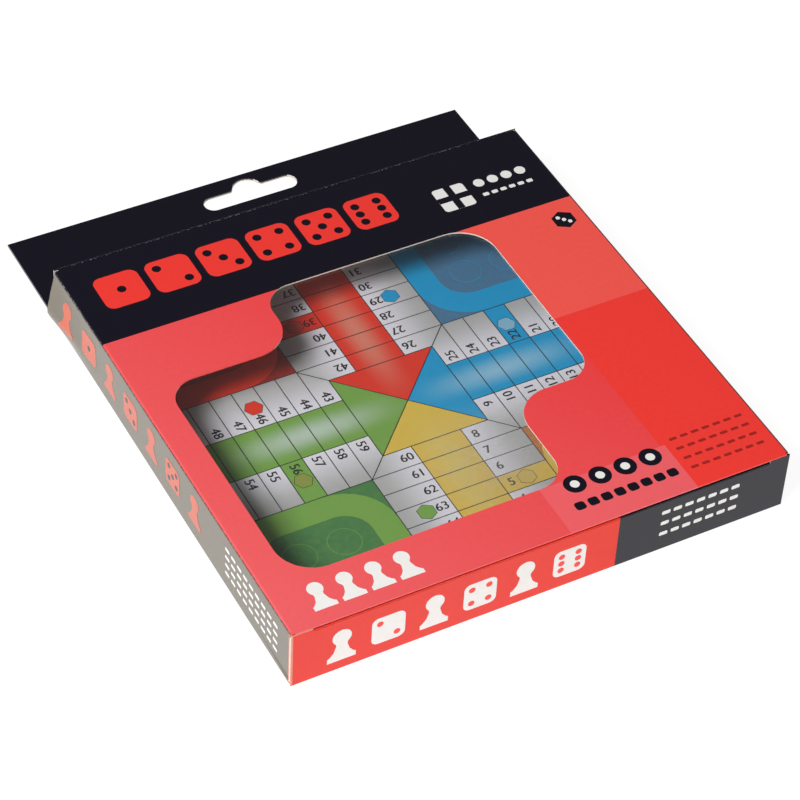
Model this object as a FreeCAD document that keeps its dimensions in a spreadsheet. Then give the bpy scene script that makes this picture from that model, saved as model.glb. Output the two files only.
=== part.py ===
"""Magnetic parcheesi game in a windowed hanging carton.

The carton lies on its back. The origin is the middle of the back panel's outer face, +X runs to the
right across the front, +Y towards the hang tab and +Z out of the front. All sizes are millimetres.
"""
import FreeCAD, Part
import os
import Sketcher

doc = FreeCAD.newDocument("magnetic_parcheesi")
sheet = doc.addObject("Spreadsheet::Sheet", "Sizes")

# Driving sizes, one cell each
SIZES = {
    # Folding carton: its width and height follow from the board and the play round it
    "side_play": 3.75,
    "end_play": 4.5,
    "carton_depth": 22.5,
    "card": 0.5,
    "crease_outer": 0.9,
    "crease_land": 1.3,
    "fold_gap": 0.05,
    "cut_overrun": 5.0,
    # Window: card left round it, and shares of its size for the upper right and lower left rectangles
    "window_left_margin": 9.9,
    "window_right_margin": 35.5,
    "window_top_margin": 37.9,
    "window_bottom_margin": 19.5,
    "upper_width_share": 0.637,
    "upper_height_share": 0.674,
    "lower_width_share": 0.75,
    "lower_height_share": 0.772,
    "window_corner": 9.5,
    "window_sweep": 12.5,
    "corner_run_share": 0.45,
    "bend_run_share": 0.5,
    # Clear film behind the window
    "film": 0.2,
    "film_margin": 6.5,
    # Hang tab with its euro slot
    "tab_height": 40.5,
    "tab_ply_gap": 0.4,
    "slot_length": 34.5,
    "slot_height": 7.0,
    "slot_below_edge": 10.3,
    "slot_bump_radius": 5.2,
    "slot_bump_rise": 2.5,
    "slot_blend": 1.6,
    # Glue flap
    "glue_flap_height": 14.0,
    "glue_flap_slope": 5.0,
    # Tuck closures
    "lip_length": 11.0,
    "lip_slack": 0.75,
    "lip_score": 0.45,
    "lip_round": 8.0,
    "shoulder_width": 7.0,
    "closure_side_gap": 0.1,
    # Dust flaps
    "dust_length": 35.0,
    "dust_start": 1.2,
    "dust_lip_slack": 0.3,
    "dust_hinge_taper_share": 0.337,
    "dust_lip_taper_share": 0.126,
    "dust_round": 4.0,
    # Playing board, slid a little from the carton's middle within its play
    "board_side": 160.0,
    "board_shift_left": 0.6,
    "board_shift_up": 0.6,
    "square_width": 17.5,
    "core": 1.5,
    "steel": 0.3,
    "steel_inset": 3.0,
    "playing_sheet": 0.25,
    "backing_sheet": 0.2,
    "backing_inset": 2.0,
    "board_corner": 2.0,
    # Rules booklet
    "booklet_width": 105.0,
    "booklet_end_gap": 4.25,
    "booklet_pages": 1.3,
    "booklet_cover": 0.2,
    "booklet_page_inset": 0.6,
    # Counters and die
    "counter_diameter": 7.0,
    "counter_height": 4.2,
    "counter_rim": 1.0,
    "counter_dish": 0.7,
    "counter_edge": 0.4,
    "counter_pitch": 9.4,
    "magnet_diameter": 4.8,
    "magnet_height": 2.0,
    "magnet_gap": 0.05,
    "die_side": 8.0,
    "die_round": 1.2,
    "pip_radius": 0.85,
    "pip_depth": 0.4,
}
for row, (alias, value) in enumerate(SIZES.items(), start=1):
    sheet.set(f"A{row}", alias.replace("_", " "))
    sheet.set(f"B{row}", str(value))
    sheet.setAlias(f"B{row}", alias)

# Sizes that follow from the driving ones
DERIVED = {
    # The board lies between the side panels and the glue flap, and between the dust flaps and closures
    "carton_width": "board_side + 2 * side_play + 3 * card",
    "carton_height": "board_side + 2 * end_play + 4 * card",
    "half_width": "carton_width / 2",
    "half_height": "carton_height / 2",
    "half_card": "card / 2",
    # Crease axes of the closures lie in the middle of the card, a half card inside the carton's ends
    "hinge_reach": "half_height - half_card",
    "dust_reach": "hinge_reach - card - fold_gap",
    "side_reach": "dust_reach - half_card - fold_gap",
    "lip_rise": "carton_depth - 2 * card - lip_slack",
    "slit_rise": "carton_depth - half_card - card - fold_gap",
    "tab_slit_rise": "carton_depth - half_card - 2 * card - 2 * fold_gap",
    # Window edges from the panel's middle; a corner and a step's bend share the shortest run between them
    "window_left": "half_width - window_left_margin",
    "window_right": "half_width - window_right_margin",
    "window_top": "half_height - window_top_margin",
    "window_bottom": "half_height - window_bottom_margin",
    "window_width": "window_left + window_right",
    "window_height": "window_top + window_bottom",
    "upper_width": "window_width * upper_width_share",
    "upper_height": "window_height * upper_height_share",
    "lower_width": "window_width * lower_width_share",
    "lower_height": "window_height * lower_height_share",
    "window_round": "min(window_corner; (window_height - lower_height) * corner_run_share)",
    "window_bend": "min(window_sweep; (window_height - lower_height) * bend_run_share)",
    "tab_top": "half_height + tab_height",
    "slot_middle": "tab_top - slot_below_edge",
    # Dust flaps stand between the closure's crease and the tuck lip
    "dust_height": "lip_rise - half_card - dust_lip_slack - dust_start",
    "dust_hinge_taper": "dust_height * dust_hinge_taper_share",
    "dust_lip_taper": "dust_height * dust_lip_taper_share",
    "dust_tip": "dust_height - dust_hinge_taper - dust_lip_taper",
    "dust_corner": "min(dust_round; dust_tip * corner_run_share)",
    "booklet": "booklet_pages + 2 * booklet_cover",
    "booklet_height": "2 * (hinge_reach - lip_length - booklet_end_gap)",
    "board_base": "card + booklet",
    "board_thick": "backing_sheet + core + steel + playing_sheet",
    "board_face": "board_base + board_thick",
    "home_side": "(board_side - 3 * square_width) / 2",
    "home_middle": "(board_side - home_side) / 2",
}
first_derived = len(SIZES) + 1
for row, (alias, formula) in enumerate(DERIVED.items(), start=first_derived):
    sheet.set(f"A{row}", alias.replace("_", " "))
    sheet.set(f"B{row}", f"={formula}")
    sheet.setAlias(f"B{row}", alias)
doc.recompute()

ALIASES = set(SIZES) | set(DERIVED)
AXIS_X = FreeCAD.Vector(1, 0, 0)
AXIS_Y = FreeCAD.Vector(0, 1, 0)
AXIS_Z = FreeCAD.Vector(0, 0, 1)
HALF_TURN = 180
parts = []


def bound(formula):
    """Write a formula of size names as an expression on the sheet's cells."""
    words = formula.replace("(", " ( ").replace(")", " ) ").replace("-", " - ").split()
    return " ".join(f"Sizes.{word}" if word in ALIASES else word for word in words)


def number(formula):
    """Return the present value of a formula of size names."""
    return float(sheet.evalExpression(bound(formula)))


def place(item, x="0", y="0", z="0", axis=AXIS_Z, angle=0):
    """Turn an object about an axis and bind its place to the sheet."""
    item.Placement.Rotation = FreeCAD.Rotation(axis, angle)
    for letter, formula in (("x", x), ("y", y), ("z", z)):
        item.setExpression(f"Placement.Base.{letter}", bound(formula))


def keep(item, name):
    """List a finished object as a piece of the product."""
    item.Label = name
    parts.append(item)
    return item


def box(name, low, size):
    """Add a box from its lowest corner and its size, both given as formulas."""
    item = doc.addObject("Part::Box", name)
    for prop, formula in zip(("Length", "Width", "Height"), size):
        item.setExpression(prop, bound(formula))
    place(item, *low)
    return item


def cylinder(name, radius, height, low):
    """Add an upright cylinder from its radius, its height and its foot."""
    item = doc.addObject("Part::Cylinder", name)
    item.setExpression("Radius", bound(radius))
    item.setExpression("Height", bound(height))
    place(item, *low)
    return item


def fuse(name, *items):
    """Join objects into one with no inner seams."""
    item = doc.addObject("Part::MultiFuse", name)
    item.Shapes = list(items)
    item.Refine = True
    return item


def cut(name, base, tool):
    """Take one object away from another."""
    item = doc.addObject("Part::Cut", name)
    item.Base = base
    item.Tool = tool
    return item


def upright_edges(shape):
    """Return the numbers and middles of a shape's straight edges along Z."""
    found = []
    for index, edge in enumerate(shape.Edges, start=1):
        if isinstance(edge.Curve, Part.Line) and abs(edge.tangentAt(edge.FirstParameter).z) == 1:
            found.append((index, edge.CenterOfMass))
    return found


def round_uprights(name, base, radius_of):
    """Round the upright edges of an object; radius_of gives each edge's radius, or nothing."""
    doc.recompute()
    item = doc.addObject("Part::Fillet", name)
    item.Base = base
    radii = []
    for index, middle in upright_edges(base.Shape):
        radius = radius_of(middle)
        if radius:
            radii.append((index, number(radius), number(radius)))
    item.Edges = radii
    return item


def new_body(name):
    """Add an empty body."""
    return doc.addObject("PartDesign::Body", name)


def new_sketch(body, name, plane):
    """Add a sketch to one of its own body's origin planes."""
    sketch = body.newObject("Sketcher::SketchObject", name)
    support = next(item for item in body.Origin.OriginFeatures if item.Role == plane)
    sketch.AttachmentSupport = (support, [""])
    sketch.MapMode = "FlatFace"
    return sketch


def outline(body, name, plane, corners):
    """Sketch a closed outline whose corners are pairs of formulas."""
    sketch = new_sketch(body, name, plane)
    points = [FreeCAD.Vector(number(across), number(along), 0) for across, along in corners]
    count = len(points)
    for index, point in enumerate(points):
        sketch.addGeometry(Part.LineSegment(point, points[(index + 1) % count]))
    for index in range(count):
        sketch.addConstraint(Sketcher.Constraint("Coincident", index, 2, (index + 1) % count, 1))
    for index, corner in enumerate(corners):
        for kind, formula in zip(("DistanceX", "DistanceY"), corner):
            rule = Sketcher.Constraint(kind, -1, 1, index, 1, number(formula))
            sketch.setExpression(f"Constraints[{sketch.addConstraint(rule)}]", bound(formula))
    return sketch


def bead(body, name, plane, length, start=None):
    """Round a panel's crease: a rod of the card's thickness along the body's own axis.

    The rod is centred on the body's origin, or runs from start.
    """
    sketch = new_sketch(body, f"{name}_section", plane)
    sketch.addGeometry(Part.Circle(FreeCAD.Vector(), AXIS_Z, number("half_card")))
    sketch.addConstraint(Sketcher.Constraint("Coincident", 0, 3, -1, 1))
    rule = Sketcher.Constraint("Radius", 0, number("half_card"))
    sketch.setExpression(f"Constraints[{sketch.addConstraint(rule)}]", bound("half_card"))
    if start:
        sketch.setExpression("AttachmentOffset.Base.z", bound(start))
    return pad(body, name, sketch, length, symmetric=not start)


def pad(body, name, sketch, length, symmetric=True):
    """Give a sketch its thickness."""
    feature = body.newObject("PartDesign::Pad", name)
    feature.Profile = sketch
    feature.setExpression("Length", bound(length))
    feature.SideType = "Symmetric" if symmetric else "One side"
    doc.recompute()
    return feature


def dress_edges(body, name, kind, prop, size, wanted):
    """Fillet or chamfer the wanted edges of a body's last feature."""
    base = body.Tip
    names = [f"Edge{i}" for i, edge in enumerate(base.Shape.Edges, start=1) if wanted(edge)]
    feature = body.newObject(kind, name)
    feature.Base = (base, names)
    feature.setExpression(prop, bound(size))
    doc.recompute()
    return feature


def round_edges(body, name, radius, wanted):
    """Round the wanted edges of a body."""
    return dress_edges(body, name, "PartDesign::Fillet", "Radius", radius, wanted)


def bevel_edges(body, name, size, wanted):
    """Bevel the wanted edges of a body."""
    return dress_edges(body, name, "PartDesign::Chamfer", "Size", size, wanted)


def along(edge, axis):
    """Say whether an edge is straight and runs along an axis."""
    straight = isinstance(edge.Curve, Part.Line)
    return straight and abs(edge.tangentAt(edge.FirstParameter).dot(axis)) == 1


# Front panel: a flat between the side creases, with the window where two rectangles overlap
def make_front_panel():
    panel = box(
        "front_blank",
        ("crease_land - half_width", "- half_height", "carton_depth - card"),
        ("carton_width - 2 * crease_land", "half_height + hinge_reach - half_card - fold_gap", "card"),
    )
    upper = box(
        "window_upper",
        ("window_right - upper_width", "window_top - upper_height", "carton_depth - card - cut_overrun"),
        ("upper_width", "upper_height", "card + 2 * cut_overrun"),
    )
    lower = box(
        "window_lower",
        ("- window_left", "- window_bottom", "carton_depth - card - cut_overrun"),
        ("lower_width", "lower_height", "card + 2 * cut_overrun"),
    )
    window = fuse("window_outline", upper, lower)

    left_step = number("window_right - upper_width - fold_gap")
    right_step = number("lower_width - window_left + fold_gap")
    low_step = number("window_top - upper_height - fold_gap")
    high_step = number("lower_height - window_bottom + fold_gap")

    def corner_radius(middle):
        outer_right = middle.x > right_step and middle.y > 0
        outer_left = middle.x < left_step and middle.y < 0
        if outer_right or outer_left:
            return "window_sweep"
        in_step = left_step < middle.x < right_step and low_step < middle.y < high_step
        return "window_bend" if in_step else "window_round"

    window = round_uprights("window_rounded", window, corner_radius)
    return keep(cut("front_panel_cut", panel, window), "front_panel")


# Film: a clear sheet behind the window, wider than it by a glue margin all round
def make_window_film():
    film = box(
        "film_sheet",
        ("- window_left - film_margin", "- window_bottom - film_margin", "carton_depth - card - film"),
        ("window_width + 2 * film_margin", "window_height + 2 * film_margin", "film"),
    )
    return keep(film, "window_film")


# Side panels: the left one turns in at both creases, the right one ends in a cut edge at the back
def make_left_side():
    body = new_body("left_side")
    outer = "- half_width"
    inner = "card - half_width"
    land = "crease_land - half_width"
    corners = [
        (land, "0"), (outer, "0"), (outer, "carton_depth"), (land, "carton_depth"),
        (land, "carton_depth - card"), (inner, "carton_depth - card"), (inner, "card"), (land, "card"),
    ]
    sketch = outline(body, "left_side_section", "XZ_Plane", corners)
    pad(body, "left_side_pad", sketch, "2 * side_reach")
    outer_x = number(outer)
    inner_x = number(inner)
    round_edges(
        body, "left_outer_creases", "crease_outer",
        lambda edge: along(edge, AXIS_Y) and abs(edge.CenterOfMass.x - outer_x) < number("half_card"),
    )
    round_edges(
        body, "left_inner_creases", "crease_outer - card",
        lambda edge: along(edge, AXIS_Y) and abs(edge.CenterOfMass.x - inner_x) < number("fold_gap"),
    )
    return keep(body, "left_side_panel")


def make_right_side():
    body = new_body("right_side")
    outer = "half_width"
    inner = "half_width - card"
    land = "half_width - crease_land"
    corners = [
        (inner, "0"), (outer, "0"), (outer, "carton_depth"), (land, "carton_depth"),
        (land, "carton_depth - card"), (inner, "carton_depth - card"),
    ]
    sketch = outline(body, "right_side_section", "XZ_Plane", corners)
    pad(body, "right_side_pad", sketch, "2 * side_reach")
    middle_z = number("carton_depth") / 2

    def upper_crease(edge, x):
        middle = edge.CenterOfMass
        return along(edge, AXIS_Y) and middle.z > middle_z and abs(middle.x - x) < number("fold_gap")

    round_edges(body, "right_outer_crease", "crease_outer", lambda edge: upper_crease(edge, number(outer)))
    round_edges(
        body, "right_inner_crease", "crease_outer - card", lambda edge: upper_crease(edge, number(inner))
    )
    return keep(body, "right_side_panel")


# Glue flap: turns up from the back panel behind the right side, with sloped ends
def make_glue_flap():
    body = new_body("glue_strip")
    outer = "half_width - card"
    inner = "half_width - 2 * card"
    land = "half_width - card - crease_land"
    corners = [
        (land, "0"), (outer, "0"), (outer, "glue_flap_height"), (inner, "glue_flap_height"),
        (inner, "card"), (land, "card"),
    ]
    sketch = outline(body, "glue_section", "XZ_Plane", corners)
    pad(body, "glue_pad", sketch, "2 * side_reach")
    low_z = number("card")

    def lower_crease(edge, x):
        middle = edge.CenterOfMass
        return along(edge, AXIS_Y) and middle.z < 2 * low_z and abs(middle.x - x) < number("fold_gap")

    round_edges(body, "glue_outer_crease", "crease_outer", lambda edge: lower_crease(edge, number(outer)))
    round_edges(
        body, "glue_inner_crease", "crease_outer - card", lambda edge: lower_crease(edge, number(inner))
    )
    top_z = number("glue_flap_height")
    bevel_edges(
        body, "glue_ends", "glue_flap_slope",
        lambda edge: along(edge, AXIS_X) and abs(edge.CenterOfMass.z - top_z) < number("fold_gap"),
    )
    return keep(body, "glue_flap")


# Hang tab's euro slot: a round-ended bar with a bump in the middle for a single peg
def make_slot_tool():
    half_bar = "slot_length / 2 - slot_height / 2"
    low_z = "- cut_overrun"
    tall = "2 * card + 2 * cut_overrun"
    bar = box(
        "slot_bar",
        ("slot_height / 2 - slot_length / 2", "slot_middle - slot_height / 2", low_z),
        ("slot_length - slot_height", "slot_height", tall),
    )
    ends = [
        cylinder(f"slot_end_{side}", "slot_height / 2", tall, (f"{sign} ( {half_bar} )", "slot_middle", low_z))
        for side, sign in (("left", "-"), ("right", ""))
    ]
    bump = cylinder("slot_bump", "slot_bump_radius", tall, ("0", "slot_middle + slot_bump_rise", low_z))
    slot = fuse("slot_outline", bar, *ends, bump)

    def blend_radius(middle):
        return "slot_blend" if abs(middle.x) < number("slot_bump_radius") + number("fold_gap") else None

    return round_uprights("slot_tool", slot, blend_radius)


# Back panel: a flat that carries on past the top closure as the hang tab's rear ply
def make_back_panel(slot):
    body = new_body("back_blank")
    left = "crease_land - half_width"
    right = "half_width - card - crease_land"
    low = "half_card + fold_gap - hinge_reach"
    high = "side_reach + fold_gap"
    corners = [
        (left, low), (right, low), (right, high), ("half_width", high),
        ("half_width", "tab_top - card"), ("- half_width", "tab_top - card"), ("- half_width", high), (left, high),
    ]
    sketch = outline(body, "back_outline", "XY_Plane", corners)
    pad(body, "back_pad", sketch, "card", symmetric=False)
    return keep(cut("back_panel_cut", body, slot), "back_panel")


# Hang tab's front ply: folded over the top edge and glued down on the rear ply
def make_tab_front_ply(slot):
    body = new_body("tab_ply")
    low = "half_height + tab_ply_gap"
    corners = [
        (low, "card"), ("tab_top - card", "card"), ("tab_top - card", "0"), ("tab_top", "0"),
        ("tab_top", "2 * card"), (low, "2 * card"),
    ]
    sketch = outline(body, "tab_ply_section", "YZ_Plane", corners)
    pad(body, "tab_ply_pad", sketch, "carton_width")
    top_y = number("tab_top")
    round_edges(
        body, "tab_fold", "card - fold_gap",
        lambda edge: along(edge, AXIS_X) and abs(edge.CenterOfMass.y - top_y) < number("fold_gap"),
    )
    return keep(cut("tab_ply_cut", body, slot), "hang_tab_front_ply")


# Closures: a panel on its crease, with a notch between two shoulders where the tuck lip folds in
def make_closure(name, shoulder, hinge_z, turn, end):
    body = new_body(f"{name}_closure")
    half = "half_width - closure_side_gap"
    notch = f"{half} - shoulder_width"
    floor = "lip_rise - half_card - fold_gap"
    corners = [
        (f"- ( {half} )", "0"), (half, "0"), (half, shoulder), (notch, shoulder),
        (notch, floor), (f"- ( {notch} )", floor), (f"- ( {notch} )", shoulder), (f"- ( {half} )", shoulder),
    ]
    sketch = outline(body, f"{name}_closure_outline", "XZ_Plane", corners)
    pad(body, f"{name}_closure_pad", sketch, "card")
    floor_z = number(floor)
    bevel_edges(
        body, f"{name}_lip_score", "lip_score",
        lambda edge: along(edge, AXIS_X) and abs(edge.CenterOfMass.z - floor_z) < number("fold_gap")
        and edge.CenterOfMass.y > 0,
    )
    bead(body, f"{name}_closure_crease", "YZ_Plane", f"2 * ( {half} )")
    place(body, "0", f"{end} hinge_reach", hinge_z, AXIS_X, turn)
    return keep(body, f"{name}_closure_panel")


def make_tuck_lip(name, lip_z, turn, end):
    body = new_body(f"{name}_lip")
    half = "half_width - closure_side_gap - shoulder_width - fold_gap"
    corners = [(f"- ( {half} )", "0"), (half, "0"), (half, "lip_length"), (f"- ( {half} )", "lip_length")]
    sketch = outline(body, f"{name}_lip_outline", "XY_Plane", corners)
    pad(body, f"{name}_lip_pad", sketch, "card")
    tip_y = number("lip_length")
    round_edges(
        body, f"{name}_lip_corners", "lip_round",
        lambda edge: along(edge, AXIS_Z) and abs(edge.CenterOfMass.y - tip_y) < number("fold_gap"),
    )
    bead(body, f"{name}_lip_crease", "YZ_Plane", f"2 * ( {half} )")
    place(body, "0", f"{end} hinge_reach", lip_z, AXIS_X, turn)
    return keep(body, f"{name}_tuck_lip")


# Dust flaps: tapered flaps behind the closures, each on its side panel's end crease
def make_dust_flap(name, x, y, z, axis, turn):
    body = new_body(f"{name}_flap")
    high = "dust_start + dust_height"
    corners = [
        ("0", "dust_start"), ("dust_length", "dust_start + dust_hinge_taper"),
        ("dust_length", f"{high} - dust_lip_taper"), ("0", high),
    ]
    sketch = outline(body, f"{name}_flap_outline", "XZ_Plane", corners)
    pad(body, f"{name}_flap_pad", sketch, "card")
    tip_x = number("dust_length")
    round_edges(
        body, f"{name}_flap_corners", "dust_corner",
        lambda edge: along(edge, AXIS_Y) and abs(edge.CenterOfMass.x - tip_x) < number("fold_gap"),
    )
    bead(body, f"{name}_flap_crease", "XY_Plane", "dust_height", start="dust_start")
    place(body, x, y, z, axis, turn)
    return keep(body, f"{name}_dust_flap")


# Playing board: a core with a steel sheet on it, wrapped by the printed sheet, and a backing sheet below
def rounded_plate(name, side, low_z, thick, radius):
    corner = (f"- board_shift_left - ( {side} ) / 2", f"board_shift_up - ( {side} ) / 2", low_z)
    plate = box(f"{name}_blank", corner, (side, side, thick))
    return round_uprights(f"{name}_plate", plate, lambda middle: radius)


def make_board():
    wrapped = "board_side - 2 * playing_sheet"
    steel_side = "board_side - 2 * steel_inset"
    core_low = "board_base + backing_sheet"
    core_top = f"{core_low} + core"
    tall = "core + steel"
    blank = rounded_plate("core", wrapped, core_low, tall, "board_corner - playing_sheet")
    recess = rounded_plate("steel_recess", steel_side, core_top, "steel + cut_overrun", "board_corner")
    keep(cut("core_cut", blank, recess), "board_core")
    keep(rounded_plate("steel", steel_side, core_top, "steel", "board_corner"), "steel_sheet")
    cover = rounded_plate("cover", "board_side", core_low, f"{tall} + playing_sheet", "board_corner")
    inside = rounded_plate(
        "cover_inside", wrapped, f"{core_low} - cut_overrun", f"{tall} + cut_overrun",
        "board_corner - playing_sheet",
    )
    keep(cut("cover_cut", cover, inside), "playing_sheet")
    backing = rounded_plate(
        "backing", "board_side - 2 * backing_inset", "board_base", "backing_sheet", "board_corner"
    )
    keep(backing, "backing_sheet")


# Rules booklet: a folded cover round a block of pages, flat on the back panel
def make_booklet():
    body = new_body("booklet")
    left = "- booklet_width / 2"
    right = "booklet_width / 2"
    low = "card"
    high = "card + booklet"
    corners = [
        (right, low), (left, low), (left, high), (right, high), (right, f"{high} - booklet_cover"),
        (f"{left} + booklet_cover", f"{high} - booklet_cover"),
        (f"{left} + booklet_cover", f"{low} + booklet_cover"), (right, f"{low} + booklet_cover"),
    ]
    sketch = outline(body, "booklet_section", "XZ_Plane", corners)
    pad(body, "booklet_pad", sketch, "booklet_height")
    left_x = number(left)
    round_edges(
        body, "booklet_spine", "booklet_cover",
        lambda edge: along(edge, AXIS_Y) and abs(edge.CenterOfMass.x - left_x) < number("fold_gap"),
    )
    keep(body, "rules_cover")
    pages = box(
        "page_block",
        (f"{left} + booklet_cover", "booklet_page_inset - booklet_height / 2", "card + booklet_cover"),
        (
            "booklet_width - booklet_cover - booklet_page_inset",
            "booklet_height - 2 * booklet_page_inset", "booklet_pages",
        ),
    )
    keep(pages, "rules_pages")


# Counters: turned caps with a raised rim and a dished top, and a magnet let into the foot
COLOURS = ("red", "blue", "yellow", "green")
SET_SIZE = 4


def make_counter(name, x, y):
    body = new_body(f"{name}_cap")
    radius = "counter_diameter / 2"
    pocket = "magnet_diameter / 2 + magnet_gap"
    corners = [
        ("0", "magnet_height"), (pocket, "magnet_height"), (pocket, "0"),
        (f"{radius} - counter_edge", "0"), (radius, "counter_edge"),
        (radius, "counter_height - counter_edge"), (f"{radius} - counter_edge", "counter_height"),
        (f"{radius} - counter_rim", "counter_height"),
        (f"{radius} - counter_rim - counter_dish", "counter_height - counter_dish"),
        ("0", "counter_height - counter_dish"),
    ]
    sketch = outline(body, f"{name}_profile", "XZ_Plane", corners)
    turned = body.newObject("PartDesign::Revolution", f"{name}_turned")
    turned.Profile = sketch
    turned.ReferenceAxis = (sketch, ["V_Axis"])
    place(body, x, y, "board_face")
    keep(body, f"counter_{name}")
    magnet = cylinder(f"{name}_disc", "magnet_diameter / 2", "magnet_height", (x, y, "board_face"))
    keep(magnet, f"magnet_{name}")


def make_counters():
    first = f"- counter_pitch * ( {SET_SIZE} - 1 ) / 2"
    for column, colour in enumerate(COLOURS):
        for index in range(SET_SIZE):
            x = f"home_middle - board_shift_left + {first} + counter_pitch * {column}"
            y = f"board_shift_up - home_middle + {first} + counter_pitch * {index}"
            make_counter(f"{colour}_{index + 1}", x, y)


# Die: a rounded cube with moulded pips, opposite faces adding up to seven
PIP_SHARE = 0.25
PIPS = {
    1: [(0, 0)],
    2: [(-1, -1), (1, 1)],
    3: [(-1, -1), (0, 0), (1, 1)],
    4: [(-1, -1), (-1, 1), (1, -1), (1, 1)],
    5: [(-1, -1), (-1, 1), (0, 0), (1, -1), (1, 1)],
    6: [(-1, -1), (-1, 0), (-1, 1), (1, -1), (1, 0), (1, 1)],
}


def pip_centre(value, across, along_face):
    """Return a pip's middle, measured from the die's middle, as formulas."""
    step = f"die_side * {PIP_SHARE}"
    out = "( die_side / 2 + pip_radius - pip_depth )"
    first = f"{across} * {step}"
    second = f"{along_face} * {step}"
    return {
        1: (first, second, out), 6: (first, second, f"-1 * {out}"),
        2: (first, f"-1 * {out}", second), 5: (first, out, second),
        3: (out, first, second), 4: (f"-1 * {out}", first, second),
    }[value]


def make_die():
    middle = ("- home_middle - board_shift_left", "home_middle + board_shift_up", "board_face + die_side / 2")
    cube = box(
        "die_cube",
        tuple(f"{centre} - die_side / 2" for centre in middle),
        ("die_side", "die_side", "die_side"),
    )
    doc.recompute()
    rounded = doc.addObject("Part::Fillet", "die_rounded")
    rounded.Base = cube
    radius = number("die_round")
    rounded.Edges = [(index + 1, radius, radius) for index in range(len(cube.Shape.Edges))]
    pips = []
    for value, places in PIPS.items():
        for across, along_face in places:
            pip = doc.addObject("Part::Sphere", f"pip_{value}_{len(pips) + 1}")
            pip.setExpression("Radius", bound("pip_radius"))
            offset = pip_centre(value, across, along_face)
            place(pip, *(f"{centre} + ( {step} )" for centre, step in zip(middle, offset)))
            pips.append(pip)
    keep(cut("die_cut", rounded, fuse("die_pips", *pips)), "die")


def build():
    """Make every piece, from the carton inwards."""
    make_front_panel()
    make_window_film()
    make_left_side()
    make_right_side()
    make_glue_flap()
    slot = make_slot_tool()
    make_back_panel(slot)
    make_tab_front_ply(slot)
    make_closure("bottom", "slit_rise", "half_card", 0, "-")
    make_closure("top", "tab_slit_rise", "carton_depth - half_card", HALF_TURN, "")
    make_tuck_lip("bottom", "half_card + lip_rise", 0, "-")
    make_tuck_lip("top", "carton_depth - half_card - lip_rise", HALF_TURN, "")
    side_x = "half_width - half_card"
    make_dust_flap("bottom_left", f"- ( {side_x} )", "- dust_reach", "half_card", AXIS_Z, 0)
    make_dust_flap("bottom_right", side_x, "- dust_reach", "half_card", AXIS_Z, HALF_TURN)
    make_dust_flap("top_left", f"- ( {side_x} )", "dust_reach", "carton_depth - half_card", AXIS_X, HALF_TURN)
    make_dust_flap("top_right", side_x, "dust_reach", "carton_depth - half_card", AXIS_Y, HALF_TURN)
    make_board()
    make_booklet()
    make_counters()
    make_die()
    doc.recompute()


def check():
    """Stop if any object failed or any piece is not one sound solid."""
    failed = [item.Name for item in doc.Objects if {"Invalid", "Error"} & set(item.State)]
    unsound = [
        item.Label for item in parts
        if item.Shape.isNull() or not item.Shape.isValid() or len(item.Shape.Solids) != 1
    ]
    if failed or unsound:
        raise RuntimeError(f"failed objects {failed}, unsound pieces {unsound}")


build()
check()
os.makedirs("parts", exist_ok=True)
for item in parts:
    item.Shape.exportStep(f"parts/{item.Label}.step")
print(len(parts), "pieces written")
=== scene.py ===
"""Looks of a magnetic parcheesi game in its windowed hanging carton.

Every piece is in metres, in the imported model's frame: +X runs right across the front, +Y towards the hang
tab and +Z out of the front panel. Sizes held in the classes are millimetres.
"""
import functools
import logging
import math
from dataclasses import dataclass, field
from enum import Enum
from typing import Any, Callable, Optional, Sequence

import bpy
from mathutils import Matrix, Vector


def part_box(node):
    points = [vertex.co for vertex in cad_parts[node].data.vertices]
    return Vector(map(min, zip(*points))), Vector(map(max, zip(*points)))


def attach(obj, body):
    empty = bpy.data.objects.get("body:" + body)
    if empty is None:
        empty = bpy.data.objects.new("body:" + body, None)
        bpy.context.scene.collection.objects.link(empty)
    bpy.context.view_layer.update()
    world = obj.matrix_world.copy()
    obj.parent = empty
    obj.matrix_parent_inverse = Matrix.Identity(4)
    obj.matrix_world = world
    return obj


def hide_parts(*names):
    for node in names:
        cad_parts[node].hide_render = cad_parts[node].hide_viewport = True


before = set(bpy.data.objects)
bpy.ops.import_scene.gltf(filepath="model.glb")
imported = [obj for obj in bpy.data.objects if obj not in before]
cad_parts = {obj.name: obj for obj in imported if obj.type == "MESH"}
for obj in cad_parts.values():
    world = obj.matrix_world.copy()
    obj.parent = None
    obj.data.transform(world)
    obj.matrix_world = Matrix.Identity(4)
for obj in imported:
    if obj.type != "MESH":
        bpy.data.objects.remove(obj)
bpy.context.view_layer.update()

MM = 0.001
Node, Tree, Object = bpy.types.Node, bpy.types.NodeTree, bpy.types.Object
Pair = tuple[float, float]
Point = tuple[float, float, float]
Span = tuple[Optional[float], Optional[float]]
OPEN: Span = (None, None)
log = logging.getLogger("parcheesi_scene")


def linear(code: str) -> tuple[float, float, float, float]:
    """Turn an sRGB hex colour into linear light.

    Args:
        code: A colour such as #E83A32.

    Returns:
        Linear red, green and blue, and an alpha of 1.
    """
    shares = [int(code[i:i + 2], 16) / 255 for i in (1, 3, 5)]
    light = [s / 12.92 if s <= 0.04045 else ((s + 0.055) / 1.055) ** 2.4 for s in shares]
    return (light[0], light[1], light[2], 1.0)


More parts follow.
